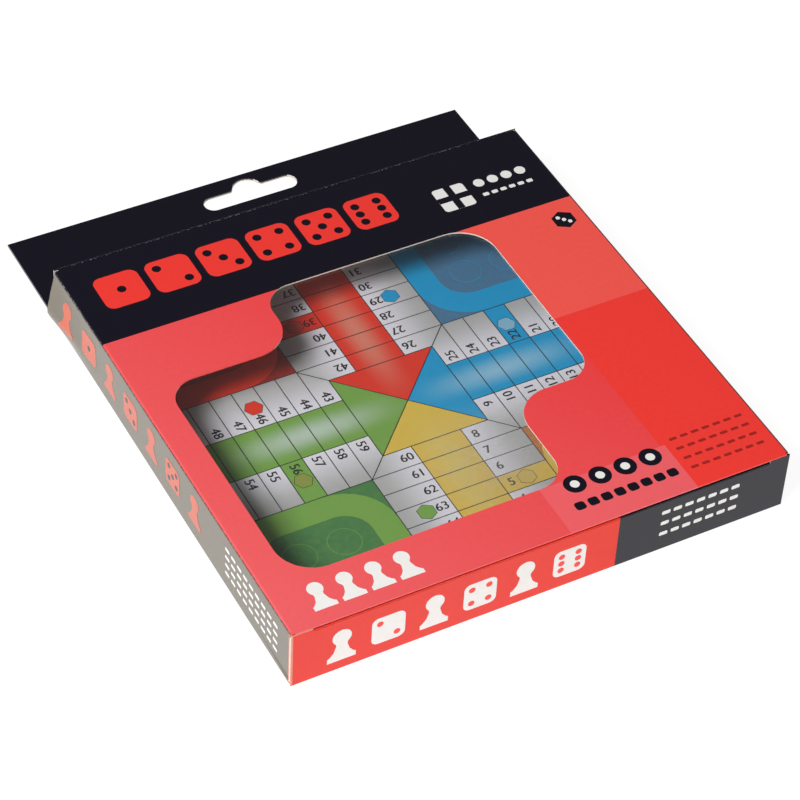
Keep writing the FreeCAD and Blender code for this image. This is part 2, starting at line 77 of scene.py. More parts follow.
def add_node(tree: Tree, kind: str, inputs: Optional[dict] = None, **settings: Any) -> Any:
    """Add a shader node, set it up and link it.

    Args:
        tree: The node tree to add to.
        kind: The node's type, without its ShaderNode prefix.
        inputs: What each socket gets, by name or number: a value, a socket or a node's first output.
        settings: The node's own properties.

    Returns:
        The new node.
    """
    node = tree.nodes.new(f"ShaderNode{kind}")
    for name, value in settings.items():
        setattr(node, name, value)
    for key, value in (inputs or {}).items():
        source = value.outputs[0] if isinstance(value, Node) else value
        if isinstance(source, bpy.types.NodeSocket):
            tree.links.new(source, node.inputs[key])
        else:
            node.inputs[key].default_value = source
    return node


def select_only(*objects: Object) -> None:
    """Select these objects and no others, with the last one active.

    Args:
        objects: What to select.
    """
    bpy.ops.object.select_all(action="DESELECT")
    for item in objects:
        item.select_set(True)
    bpy.context.view_layer.objects.active = objects[-1]


def edit_all() -> None:
    """Enter edit mode on the active object, with all of it selected."""
    bpy.ops.object.mode_set(mode="EDIT")
    bpy.ops.mesh.select_all(action="SELECT")


def apply_modifier(piece: Object, kind: str, **settings: Any) -> None:
    """Give the active object a modifier and apply it.

    Args:
        piece: The active object.
        kind: The modifier's type.
        settings: The modifier's own properties.
    """
    modifier = piece.modifiers.new(kind.lower(), kind)
    for name, value in settings.items():
        setattr(modifier, name, value)
    bpy.ops.object.modifier_apply(modifier=modifier.name)


class Player(Enum):
    """The four players, anticlockwise from the board's far arm."""

    RED = "red"
    GREEN = "green"
    YELLOW = "yellow"
    BLUE = "blue"


class Tone(Enum):
    """How a board ink is shaded across the arms."""

    FLAT = "flat"
    # The streak is a bright band along the corridor, partly print gradient and partly painted highlight
    STREAK = "streak"
    SQUARE = "square"


class Use(Enum):
    """What a player's ink prints."""

    ARM = "arm"
    HOME = "home"
    MARK = "mark"


# Socket numbers of the colour Mix node
MIX_SHARE, MIX_FIRST, MIX_SECOND, MIX_RESULT = 0, 6, 7, 2
# How wide a band of the Wave texture is at a scale of 1
WAVE_BAND = math.pi / 10


@dataclass(frozen=True)
class Finish:
    """A surface: the real material's name and how it takes the light."""

    name: str
    roughness: float = 0.5
    ior: float = 1.5
    # The least and most brightness of its mottle, and its relief: how strongly it shows and its height
    shades: Pair = (0.95, 1.05)
    relief: float = 0.2
    relief_height: float = 0.05

    def material(self) -> bpy.types.Material:
        """Make this finish's material on first use, and find it again later.

        Returns:
            The material.
        """
        found = bpy.data.materials.get(self.name)
        if found:
            return found
        made = bpy.data.materials.new(self.name)
        made.use_nodes = True
        made.node_tree.nodes.clear()
        add_node(made.node_tree, "OutputMaterial", {"Surface": self.shade(made.node_tree)})
        return made

    def shade(self, tree: Tree) -> Node:
        """Return the shader that the surface shows."""
        sockets = {"Roughness": self.roughness, "IOR": self.ior, **self.sockets(tree)}
        return add_node(tree, "BsdfPrincipled", sockets)

    def sockets(self, tree: Tree) -> dict[str, Any]:
        """Return what the shader's sockets get, over the plain ones."""
        raise NotImplementedError

    def shaded(self, tree: Tree, colour: Any, noise: Any, shades: tuple) -> Node:
        """Return a colour that a noise makes darker and brighter."""
        value = add_node(tree, "MapRange", {"Value": noise, "To Min": shades[0], "To Max": shades[1]})
        return add_node(tree, "HueSaturation", {"Value": value, "Color": colour})


@dataclass(frozen=True)
class Zone:
    """A printed patch: its colour, its limits in mm along each axis and the colour that it fades to."""

    colour: str
    x: Span = OPEN
    y: Span = OPEN
    z: Span = OPEN
    fade: Optional[str] = None

    def mask(self, tree: Tree, place: Node) -> Optional[Node]:
        """Build the test for being inside the patch.

        Args:
            tree: The material's node tree.
            place: The node that gives the point's coordinates.

        Returns:
            A node that gives 1 inside and 0 outside, or nothing if the patch has no limits.
        """
        inside = None
        for axis, span in enumerate((self.x, self.y, self.z)):
            for limit, operation in zip(span, ("GREATER_THAN", "LESS_THAN")):
                if limit is None:
                    continue
                test = add_node(tree, "Math", {0: place.outputs[axis], 1: limit * MM}, operation=operation)
                if inside:
                    test = add_node(tree, "Math", {0: inside, 1: test}, operation="MULTIPLY")
                inside = test
        return inside


@dataclass(frozen=True)
class PrintedCard(Finish):
    """Folding box board, offset printed and gloss varnished outside, with raw pale pulp inside and at cuts.

    The varnish gives a clear sharp sheen over flat ink; cut edges are cream, and rubbed creases show white.
    """

    zones: tuple[Zone, ...] = ()
    cut_axes: tuple[int, ...] = ()
    inked_cuts: tuple[Zone, ...] = ()
    rubbed: tuple[Zone, ...] = ()
    roughness: float = 0.22
    raw_roughness: float = 0.85
    relief: float = 0.08
    relief_height: float = 0.03
    # How far the mottle sends the roughness down and up
    gloss_spread: Pair = (-0.04, 0.06)
    pulp: str = "#D2C8BC"
    pulp_shades: Pair = (0.86, 1.06)
    # The way and the span, in mm, of a patch that fades
    fade_way: Point = (0.83, 0.56, 0.0)
    fade_span: Pair = (-111.0, 68.0)
    middle: Point = (0.0, 0.0, 11.25)
    # Print mottle is finer than this on card, and drawn coarser to show
    mottle: float = 1.6
    fibre: float = 0.35
    # Scuffs: their size, and how much of the noise shows as bare card
    scuff: float = 0.9
    scuff_level: float = 0.55
    # A face that is turned further than this to a cut's axis is a cut
    cut_slope: float = 0.75

    def sockets(self, tree: Tree) -> dict[str, Any]:
        """Lay the ink zones on the outside, and bare pulp inside, at cuts and on rubbed creases.

        Args:
            tree: The material's node tree.

        Returns:
            What the shader's sockets get.
        """
        spot = add_node(tree, "TexCoord")
        here = spot.outputs["Object"]
        place = add_node(tree, "SeparateXYZ", {0: here})
        facing = add_node(tree, "SeparateXYZ", {0: spot.outputs["Normal"]})
        along = add_node(tree, "VectorMath", {0: here, 1: self.fade_way}, operation="DOT_PRODUCT")
        ends = {"From Min": self.fade_span[0] * MM, "From Max": self.fade_span[1] * MM}
        fading = add_node(tree, "MapRange", {"Value": along.outputs["Value"], **ends})
        ink = None
        for zone in self.zones:
            colour = linear(zone.colour)
            if zone.fade:
                ends = {MIX_SHARE: fading, MIX_FIRST: colour, MIX_SECOND: linear(zone.fade)}
                colour = add_node(tree, "Mix", ends, data_type="RGBA").outputs[MIX_RESULT]
            inside = zone.mask(tree, place)
            if inside:
                patch = {MIX_SHARE: inside, MIX_FIRST: ink, MIX_SECOND: colour}
                colour = add_node(tree, "Mix", patch, data_type="RGBA").outputs[MIX_RESULT]
            ink = colour
        cloud = add_node(tree, "TexNoise", {"Vector": here, "Scale": 1 / (self.mottle * MM), "Detail": 4.0})
        ink = self.shaded(tree, ink, cloud, self.shades)
        specks = add_node(tree, "TexNoise", {"Vector": here, "Scale": 1 / (self.scuff * MM), "Detail": 6.0})
        worn = add_node(tree, "Math", {0: specks, 1: self.scuff_level}, operation="GREATER_THAN")
        dulled: Any = 0.0
        for crease in self.rubbed:
            share = add_node(tree, "Math", {0: crease.mask(tree, place), 1: worn}, operation="MULTIPLY")
            dulled = add_node(tree, "Math", {0: dulled, 1: share}, operation="MAXIMUM")
            patch = {MIX_SHARE: share, MIX_FIRST: ink, MIX_SECOND: linear(crease.colour)}
            ink = add_node(tree, "Mix", patch, data_type="RGBA").outputs[MIX_RESULT]
        middle = [size * MM for size in self.middle]
        away = add_node(tree, "VectorMath", {0: here, 1: middle}, operation="SUBTRACT")
        turned = {0: away, 1: spot.outputs["Normal"]}
        outward = add_node(tree, "VectorMath", turned, operation="DOT_PRODUCT").outputs["Value"]
        printed = add_node(tree, "Math", {0: outward, 1: 0.0}, operation="GREATER_THAN")
        for axis in self.cut_axes:
            slope = add_node(tree, "Math", {0: facing.outputs[axis]}, operation="ABSOLUTE")
            uncut = add_node(tree, "Math", {0: slope, 1: self.cut_slope}, operation="LESS_THAN")
            printed = add_node(tree, "Math", {0: printed, 1: uncut}, operation="MULTIPLY")
        for cut in self.inked_cuts:
            printed = add_node(tree, "Math", {0: printed, 1: cut.mask(tree, place)}, operation="MAXIMUM")
        fibres = add_node(tree, "TexNoise", {"Vector": here, "Scale": 1 / (self.fibre * MM), "Detail": 5.0})
        pulp = self.shaded(tree, linear(self.pulp), fibres, self.pulp_shades)
        whole = {MIX_SHARE: printed, MIX_FIRST: pulp.outputs[0], MIX_SECOND: ink}
        colour = add_node(tree, "Mix", whole, data_type="RGBA").outputs[MIX_RESULT]
        varnished = add_node(tree, "Math", {0: printed, 1: dulled}, operation="SUBTRACT")
        gloss = {"Value": varnished, "To Min": self.raw_roughness, "To Max": self.roughness}
        spread = {"To Min": self.gloss_spread[0], "To Max": self.gloss_spread[1]}
        even = add_node(tree, "MapRange", {"Value": cloud, **spread})
        rough = add_node(tree, "Math", {0: add_node(tree, "MapRange", gloss), 1: even}, operation="ADD")
        relief = {"Height": fibres, "Strength": self.relief, "Distance": self.relief_height * MM}
        return {"Base Color": colour, "Roughness": rough, "Normal": add_node(tree, "Bump", relief)}


@dataclass(frozen=True)
class Mottled(Finish):
    """A surface of one colour with a fine mottle, and with the mottle's relief if that is not 0."""

    colour: str = "#FFFFFF"
    # The mottle's size, and how many finer ones lie in it
    mottle: float = 1.6
    detail: float = 4.0

    def sockets(self, tree: Tree) -> dict[str, Any]:
        """Mottle the colour and raise the relief.

        Args:
            tree: The material's node tree.

        Returns:
            What the shader's sockets get.
        """
        here = add_node(tree, "TexCoord").outputs["Object"]
        size = {"Scale": 1 / (self.mottle * MM), "Detail": self.detail}
        cloud = add_node(tree, "TexNoise", {"Vector": here, **size})
        body = self.shaded(tree, linear(self.colour), cloud, self.shades)
        sockets = {"Base Color": self.tint(tree, body)}
        if self.relief:
            relief = {"Height": cloud, "Strength": self.relief, "Distance": self.relief_height * MM}
            sockets["Normal"] = add_node(tree, "Bump", relief)
        return sockets

    def tint(self, tree: Tree, body: Node) -> Any:
        """Return the colour's node or socket; a painted surface overrides this."""
        return body


@dataclass(frozen=True)
class CardInk(Mottled):
    """Offset ink under gloss varnish: flat colour with a faint mottle."""

    roughness: float = 0.22
    shades: Pair = (0.95, 1.04)
    relief: float = 0.0


@dataclass(frozen=True)
class BoardInk(Finish):
    """Offset print on laminated paper under a satin film: soft shades run across the arms, and the corridors'
    bright streaks are partly a print gradient and partly a painted highlight.
    """

    colour: str = "#FFFFFF"
    shade_to: str = "#FFFFFF"
    tone: Tone = Tone.FLAT
    roughness: float = 0.35
    # Half the corridor, and the column beside it
    corridor: float = 8.75
    column: float = 17.5
    # The corridor's bright streak, partly print gradient and partly painted highlight: half its width, its
    # middle and half its length from the board's centre
    streak_width: float = 7.5
    streak_middle: float = 34.0
    streak_length: float = 36.0
    mottle: float = 2.2
    shades: Pair = (0.96, 1.04)
    # How much of the second colour the mottle brings into a flat ink
    mottle_share: float = 0.4

    def sockets(self, tree: Tree) -> dict[str, Any]:
        """Shade the ink by how far it lies across and along its arm.

        Args:
            tree: The material's node tree.

        Returns:
            What the shader's sockets get.
        """
        low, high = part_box("playing_sheet")
        here = add_node(tree, "TexCoord").outputs["Object"]
        centred = add_node(tree, "VectorMath", {0: here, 1: (low + high) / 2}, operation="SUBTRACT")
        place = add_node(tree, "SeparateXYZ", {0: centred})
        sides = [add_node(tree, "Math", {0: place.outputs[i]}, operation="ABSOLUTE") for i in (0, 1)]
        across = add_node(tree, "Math", {0: sides[0], 1: sides[1]}, operation="MINIMUM")
        along = add_node(tree, "Math", {0: sides[0], 1: sides[1]}, operation="MAXIMUM")
        cloud = add_node(tree, "TexNoise", {"Vector": here, "Scale": 1 / (self.mottle * MM), "Detail": 3.0})
        if self.tone is Tone.SQUARE:
            edges = {"From Min": self.corridor * MM, "From Max": (self.corridor + self.column) * MM}
            share = add_node(tree, "MapRange", {"Value": across, **edges}, interpolation_type="SMOOTHSTEP")
        # A bright band along the corridor's middle: partly print gradient, partly painted highlight
        elif self.tone is Tone.STREAK:
            wide = {"Value": across, "From Min": self.streak_width * MM, "From Max": 0.0}
            off = add_node(tree, "Math", {0: along, 1: self.streak_middle * MM}, operation="SUBTRACT")
            far = add_node(tree, "Math", {0: off}, operation="ABSOLUTE")
            long = {"Value": far, "From Min": self.streak_length * MM, "From Max": 0.0}
            both = [add_node(tree, "MapRange", m, interpolation_type="SMOOTHSTEP") for m in (wide, long)]
            share = add_node(tree, "Math", {0: both[0], 1: both[1]}, operation="MULTIPLY")
        else:
            share = add_node(tree, "MapRange", {"Value": cloud, "To Max": self.mottle_share})
        ends = {MIX_SHARE: share, MIX_FIRST: linear(self.colour), MIX_SECOND: linear(self.shade_to)}
        ink = add_node(tree, "Mix", ends, data_type="RGBA").outputs[MIX_RESULT]
        return {"Base Color": self.shaded(tree, ink, cloud, self.shades)}


@dataclass(frozen=True)
class ClearFilm(Finish):
    """Cast polyester film, tight and a little puckered: a faint grey haze with thin bright glints."""

    roughness: float = 0.06
    ior: float = 1.45
    relief: float = 0.15
    relief_height: float = 0.5
    tint: str = "#FAFBFB"
    milk: str = "#BDBDBD"
    pucker: float = 14.0
    haze: float = 0.012
    # A handled patch: its middle and reach, the pitch and half width of its soft creases, and its added haze
    patch: Point = (0.0, -48.0, 22.0)
    patch_reach: float = 30.0
    crease_pitch: float = 11.0
    crease_width: float = 1.2
    patch_haze: float = 0.09
    crease_haze: float = 0.14

    def shade(self, tree: Tree) -> Node:
        """Mix what shows through the film with what it mirrors.

        Args:
            tree: The material's node tree.

        Returns:
            The film's shader.
        """
        here = add_node(tree, "TexCoord").outputs["Object"]
        waves = add_node(tree, "TexNoise", {"Vector": here, "Scale": 1 / (self.pucker * MM), "Detail": 3.0})
        puckers = {"Height": waves, "Strength": self.relief, "Distance": self.relief_height * MM}
        relief = add_node(tree, "Bump", puckers)
        clear = add_node(tree, "BsdfTransparent", {"Color": linear(self.tint)})
        off = {0: here, 1: [size * MM for size in self.patch]}
        far = add_node(tree, "VectorMath", off, operation="DISTANCE").outputs["Value"]
        fade = {"Value": far, "From Min": self.patch_reach * MM, "From Max": 0.0}
        near = add_node(tree, "MapRange", fade, interpolation_type="SMOOTHSTEP")
        folds = {"Vector": here, "Scale": 1 / (self.crease_pitch * MM)}
        edge = add_node(tree, "TexVoronoi", folds, feature="DISTANCE_TO_EDGE")
        soft = {"Value": edge, "From Max": self.crease_width / self.crease_pitch,
                "To Min": self.crease_haze, "To Max": self.patch_haze}
        worn = add_node(tree, "MapRange", soft, interpolation_type="SMOOTHSTEP")
        haze = add_node(tree, "Math", {0: near, 1: worn, 2: self.haze}, operation="MULTIPLY_ADD")
        milky = add_node(tree, "BsdfDiffuse", {"Color": linear(self.milk)})
        clear = add_node(tree, "MixShader", {0: haze, 1: clear, 2: milky})
        gloss = add_node(tree, "BsdfGlossy", {"Roughness": self.roughness, "Normal": relief})
        # Schlick's curve is the same from both sides, so light is not trapped between the film's faces
        slope = add_node(tree, "LayerWeight", {"Blend": 0.5, "Normal": relief}).outputs["Facing"]
        rise = add_node(tree, "Math", {0: slope, 1: 5.0}, operation="POWER")
        square_on = ((self.ior - 1) / (self.ior + 1)) ** 2
        share = add_node(tree, "MapRange", {"Value": rise, "To Min": square_on})
        return add_node(tree, "MixShader", {0: share, 1: clear, 2: gloss})


@dataclass(frozen=True)
class MouldedPlastic(Mottled):
    """Injection moulded polystyrene: strong even colour, a soft polish and faint flow marks."""

    colour: str = "#C81E18"
    roughness: float = 0.24
    ior: float = 1.59
    shades: Pair = (0.92, 1.06)
    relief: float = 0.05
    mottle: float = 2.5
    detail: float = 2.0


@dataclass(frozen=True)
class DiePlastic(MouldedPlastic):
    """Ivory moulded plastic with black paint in the pips."""

    colour: str = "#EFE8D4"
    paint: str = "#15130F"
    half: float = 4.0
    edge_round: float = 1.2
    skin: float = 0.03

    def tint(self, tree: Tree, body: Node) -> Any:
        """Paint what lies below a face and away from the rounded edges.

        Args:
            tree: The material's node tree.
            body: The node that gives the moulding's colour.

        Returns:
            The painted colour's socket.
        """
        low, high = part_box("die")
        here = add_node(tree, "TexCoord").outputs["Object"]
        off = add_node(tree, "VectorMath", {0: here, 1: (low + high) / 2}, operation="SUBTRACT")
        away = add_node(tree, "VectorMath", {0: off}, operation="ABSOLUTE")
        size = add_node(tree, "SeparateXYZ", {0: away})
        x, y, z = size.outputs
        most = add_node(tree, "Math", {0: x, 1: y}, operation="MAXIMUM")
        less = add_node(tree, "Math", {0: x, 1: y}, operation="MINIMUM")
        top = add_node(tree, "Math", {0: most, 1: z}, operation="MAXIMUM")
        rest = add_node(tree, "Math", {0: most, 1: z}, operation="MINIMUM")
        second = add_node(tree, "Math", {0: less, 1: rest}, operation="MAXIMUM")
        sunk = add_node(tree, "Math", {0: top, 1: (self.half - self.skin) * MM}, operation="LESS_THAN")
        inner = {0: second, 1: (self.half - self.edge_round) * MM}
        clear = add_node(tree, "Math", inner, operation="LESS_THAN")
        pip = add_node(tree, "Math", {0: sunk, 1: clear}, operation="MULTIPLY")
        ends = {MIX_SHARE: pip, MIX_FIRST: body.outputs[0], MIX_SECOND: linear(self.paint)}
        return add_node(tree, "Mix", ends, data_type="RGBA").outputs[MIX_RESULT]


@dataclass(frozen=True)
class Pulp(Finish):
    """Uncoated paper or board: matt, with fibres and specks; leaves show as lines at a page block's edge."""

    colour: str = "#D8D2C4"
    speck: str = "#8F8779"
    roughness: float = 0.92
    fibre: float = 0.5
    # Where in the fibres' noise specks start and are full, and how far they hide the paper
    speck_levels: Pair = (0.5, 0.8)
    speck_share: float = 0.5
    # Leaves are thinner than this, and drawn coarser to show
    leaf: float = 0.0
    leaf_wander: float = 0.6
    leaf_shades: Pair = (0.7, 1.0)

    def sockets(self, tree: Tree) -> dict[str, Any]:
        """Scatter specks and, on a block of pages, draw its leaves.

        Args:
            tree: The material's node tree.

        Returns:
            What the shader's sockets get.
        """
        here = add_node(tree, "TexCoord").outputs["Object"]
        fibres = add_node(tree, "TexNoise", {"Vector": here, "Scale": 1 / (self.fibre * MM), "Detail": 6.0})
        start, full = self.speck_levels
        level = {"Value": fibres, "From Min": start, "From Max": full, "To Max": self.speck_share}
        share = add_node(tree, "MapRange", level)
        specks = {MIX_SHARE: share, MIX_FIRST: linear(self.colour), MIX_SECOND: linear(self.speck)}
        colour = add_node(tree, "Mix", specks, data_type="RGBA").outputs[MIX_RESULT]
        if self.leaf:
            rows = {"Vector": here, "Scale": WAVE_BAND / (self.leaf * MM), "Distortion": self.leaf_wander}
            lines = add_node(tree, "TexWave", rows, bands_direction="Z")
            colour = self.shaded(tree, colour, lines.outputs["Fac"], self.leaf_shades)
        relief = {"Height": fibres, "Strength": self.relief, "Distance": self.relief_height * MM}
        return {"Base Color": colour, "Normal": add_node(tree, "Bump", relief)}


@dataclass(frozen=True)
class RolledSteel(Finish):
    """Tinplate or wire: bright metal drawn along one way, so its streaks run that way."""

    colour: str = "#C9CBCE"
    roughness: float = 0.32
    # How far the streaks send the roughness down and up
    gloss_spread: Pair = (-0.1, 0.12)
    streak: float = 0.4
    stretch: float = 40.0

    def sockets(self, tree: Tree) -> dict[str, Any]:
        """Draw the rolling streaks along Y.

        Args:
            tree: The material's node tree.

        Returns:
            What the shader's sockets get.
        """
        here = add_node(tree, "TexCoord").outputs["Object"]
        drawn = add_node(tree, "Mapping", {"Vector": here, "Scale": (1.0, 1 / self.stretch, 1.0)})
        lines = add_node(tree, "TexNoise", {"Vector": drawn, "Scale": 1 / (self.streak * MM), "Detail": 3.0})
        least, most = (self.roughness + spread for spread in self.gloss_spread)
        rough = add_node(tree, "MapRange", {"Value": lines, "To Min": least, "To Max": most})
        return {"Base Color": linear(self.colour), "Metallic": 1.0, "Roughness": rough}


@dataclass(frozen=True)
class Ferrite(Mottled):
    """Sintered ferrite magnet: dull charcoal with a fine ground grain."""

    colour: str = "#2B2B2E"
    roughness: float = 0.6
    shades: Pair = (0.7, 1.3)
    relief_height: float = 0.03
    mottle: float = 0.3


# A pawn's foot and body: how high each row lies and half its width, as shares of the pawn's height
PAWN_SHARES = ((0.14, 0.36), (0.18, 0.3), (0.3, 0.2), (0.5, 0.14))
# Its head's radius as a share too, and the head's rows in degrees from the neck up
HEAD_SHARE, HEAD_TURNS = 0.24, range(-50, 90, 15)
# Steps in a rounded corner, and sides of a hexagon, of a die's pip and of the badge's dot
CORNER_STEPS, HEXAGON, PIP_SIDES, DOT_SIDES = 8, 6, 20, 16


def modelled_once(model: Callable[..., None]) -> Callable[..., Object]:
    """Let a stencil's method model each shape once, and give the same one again later.

    Args:
        model: The method, which leaves its new shape active.

    Returns:
        A method that takes the same sizes and returns the master shape.
    """
    @functools.wraps(model)
    def shape(stencils: "Stencils", *sizes: Any) -> Object:
        """Return the master shape of these sizes, modelled on first use."""
        key = (model.__name__, *(getattr(size, "name", size) for size in sizes))
        if key not in stencils.masters:
            model(stencils, *sizes)
            bpy.ops.object.mode_set(mode="OBJECT")
            stencils.masters[key] = bpy.context.view_layer.objects.active
        return stencils.masters[key]
    return shape


@dataclass
class Stencils:
    """Flat master shapes in the XY plane, each modelled once about the origin and copied by the presses."""

    masters: dict[tuple, Object] = field(default_factory=dict)

    @modelled_once
    def rectangle(self, width: float, height: float, corner: float = 0.0) -> None:
        """Model a rectangle, its corners rounded if asked.

        Args:
            width: Size along X.
            height: Size along Y.
            corner: Corner radius, or none.
        """
        bpy.ops.object.select_all(action="DESELECT")
        bpy.ops.mesh.primitive_plane_add(size=1)
        edit_all()
        bpy.ops.transform.resize(value=(width * MM, height * MM, 1))
        if corner:
            bpy.ops.mesh.bevel(offset=corner * MM, segments=CORNER_STEPS, affect="VERTICES")

    @modelled_once
    def disc(self, radius: float, sides: int = 32) -> None:
        """Model a filled disc, or a regular polygon with few sides."""
        bpy.ops.object.select_all(action="DESELECT")
        bpy.ops.mesh.primitive_circle_add(vertices=sides, radius=radius * MM, fill_type="NGON")

    def reopen(self, base: Object) -> Object:
        """Copy a master shape, to be shaped further.

        Args:
            base: The master shape.

        Returns:
            The copy, selected and active.
        """
        copy = bpy.data.objects.new(base.name, base.data.copy())
        bpy.context.scene.collection.objects.link(copy)
        select_only(copy)
        return copy

    def pick(self, shape: Object, wanted: Callable[[Vector], bool]) -> None:
        """Enter edit mode with only some corners selected.

        Args:
            shape: The active shape.
            wanted: Says by its place whether a corner is selected.
        """
        bpy.ops.object.mode_set(mode="EDIT")
        bpy.ops.mesh.select_mode(type="VERT")
        bpy.ops.mesh.select_all(action="DESELECT")
        bpy.ops.object.mode_set(mode="OBJECT")
        for corner in shape.data.vertices:
            corner.select = wanted(corner.co)
        bpy.ops.object.mode_set(mode="EDIT")

    @modelled_once
    def outlined(self, base: Object, line: float) -> None:
        """Give a shape a border: its middle keeps the first ink and the border gets the second.

        Args:
            base: The master shape.
            line: The border's width.
        """
        shape = self.reopen(base)
        self.pick(shape, lambda corner: True)
        bpy.ops.mesh.inset(thickness=line * MM)
        bpy.ops.object.mode_set(mode="OBJECT")
        widest = max(shape.data.polygons, key=lambda face: face.area)
        for face in shape.data.polygons:
            face.material_index = 0 if face == widest else 1

    @modelled_once
    def nipped(self, width: float, height: float, nip: float, side: int) -> None:
        """Model a rectangle whose lower corner on one side is drawn in along X.

        Args:
            width: Size along X.
            height: Size along Y.
            nip: How far the corner is drawn in.
            side: 1 for the right corner, -1 for the left one.
        """
        shape = self.reopen(self.rectangle(width, height))
        self.pick(shape, lambda corner: corner.x * side > 0 and corner.y < 0)
        bpy.ops.transform.translate(value=(-side * nip * MM, 0, 0))

    @modelled_once
    def wedge(self, width: float, height: float) -> None:
        """Model a triangle with its point at the middle of its lower side.

        Args:
            width: Size along X.
            height: Size along Y.
        """
        shape = self.reopen(self.rectangle(width, height))
        self.pick(shape, lambda corner: corner.y < 0)
        bpy.ops.mesh.merge(type="CENTER")

    @modelled_once
    def pawn(self, height: float) -> None:
        """Model a pawn's outline from its foot's middle up: a tapered body and a round head.

        Args:
            height: Size along Y.
        """
        turns = [math.radians(angle) for angle in HEAD_TURNS]
        head = [(HEAD_SHARE * (math.sin(t) - 1) + 1, HEAD_SHARE * math.cos(t)) for t in turns]
        rows = [*PAWN_SHARES, *head]
        foot, half = rows[0]
        shape = self.reopen(self.rectangle(2 * half * height, foot * height))
        self.pick(shape, lambda corner: corner.y > 0)
        for (low, narrow), (high, wide) in zip(rows, rows[1:]):
            rise = (0, (high - low) * height * MM, 0)
            bpy.ops.mesh.extrude_region_move(TRANSFORM_OT_translate={"value": rise})
            bpy.ops.transform.resize(value=(wide / narrow, 1, 1))

    @modelled_once
    def numeral(self, text: str, height: float) -> None:
        """Model a number in a plain sans face.

        Args:
            text: Its figures.
            height: The face's size.
        """
        bpy.ops.object.select_all(action="DESELECT")
        bpy.ops.object.text_add()
        words = bpy.context.view_layer.objects.active
        words.data.body = text
        words.data.size = height * MM
        words.data.resolution_u = 3
        words.data.align_x = "CENTER"
        words.data.align_y = "CENTER"
        bpy.ops.object.convert(target="MESH")

    def clear(self) -> None:
        """Remove the master shapes."""
        for shape in self.masters.values():
            bpy.data.objects.remove(shape)
        self.masters = {}


@dataclass
class Press:
    """Prints flat shapes as thin films of ink on one face of a body."""

    name: str
    body: str
    slot: str
    plane: Matrix
    film: float = 0.02
    prints: list = field(default_factory=list)

    def stamp(
        self, master: Object, inks: Sequence[Finish], at: Pair = (0.0, 0.0),
        turn: float = 0.0, layer: int = 0, within: Optional[Matrix] = None,
    ) -> None:
        """Print one copy of a shape.

        Args:
            master: The shape to copy.
            inks: Its finishes, by the shape's own order.
            at: Where its middle goes on the face.
            turn: Its turn in degrees, anticlockwise.
            layer: How many films lie under it.
            within: A turn of the whole design that it belongs to.
        """
        copy = bpy.data.objects.new(self.name, master.data.copy())
        for ink in inks:
            copy.data.materials.append(ink.material())
        spot = Matrix.Translation((at[0] * MM, at[1] * MM, layer * self.film * MM))
        design = within or Matrix.Identity(4)
        copy.data.transform(self.plane @ design @ spot @ Matrix.Rotation(math.radians(turn), 4, "Z"))
        bpy.context.scene.collection.objects.link(copy)
        self.prints.append(copy)

    def deliver(self) -> Object:
        """Join the prints into one piece, thicken it to a film and hand it to its body.

        Returns:
            The piece.
        """
        select_only(*self.prints)
        bpy.ops.object.join()
        piece = bpy.context.view_layer.objects.active
        piece.name = self.name
        apply_modifier(piece, "SOLIDIFY", thickness=self.film * MM, offset=1)
        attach(piece, self.body)
        log.info("%s: %d prints on %s", self.name, len(self.prints), self.body)
        return piece


@dataclass(frozen=True)
class PlayerInks:
    """A player's colours: flat, its bright streak (partly a print gradient, partly a painted highlight), the
    home's ground, the start's mark and the counter's.
    """

    flat: str
    streak: str
    deep: str
    mark: str
    plastic: str


PLAYER_INKS = {
    Player.RED: PlayerInks("#F03A26", "#E88A74", "#97302A", "#C9463A", "#C81E18"),
    Player.GREEN: PlayerInks("#80AE50", "#C6D6C4", "#3F7A4C", "#96A04A", "#2E8B34"),
    Player.YELLOW: PlayerInks("#EBC553", "#EACB62", "#C45A30", "#E0C050", "#E2B820"),
    Player.BLUE: PlayerInks("#1FA2D8", "#97C9E4", "#58718E", "#8FC0DC", "#1B6FC0"),
}


def player_ink(player: Player, use: Use = Use.ARM) -> BoardInk:
    """Mix a player's board ink: streaked along the arm, deep for the home or plain for the start's mark.

    Args:
        player: Whose ink it is.
        use: What it prints.

    Returns:
        The ink.
    """
    inks = PLAYER_INKS[player]
    name = f"board_{player.value}_{use.value}"
    if use is Use.HOME:
        return BoardInk(name, colour=inks.deep, shade_to=inks.flat)
    if use is Use.MARK:
        return BoardInk(name, colour=inks.mark, shade_to=inks.mark)
    return BoardInk(name, colour=inks.flat, shade_to=inks.streak, tone=Tone.STREAK)


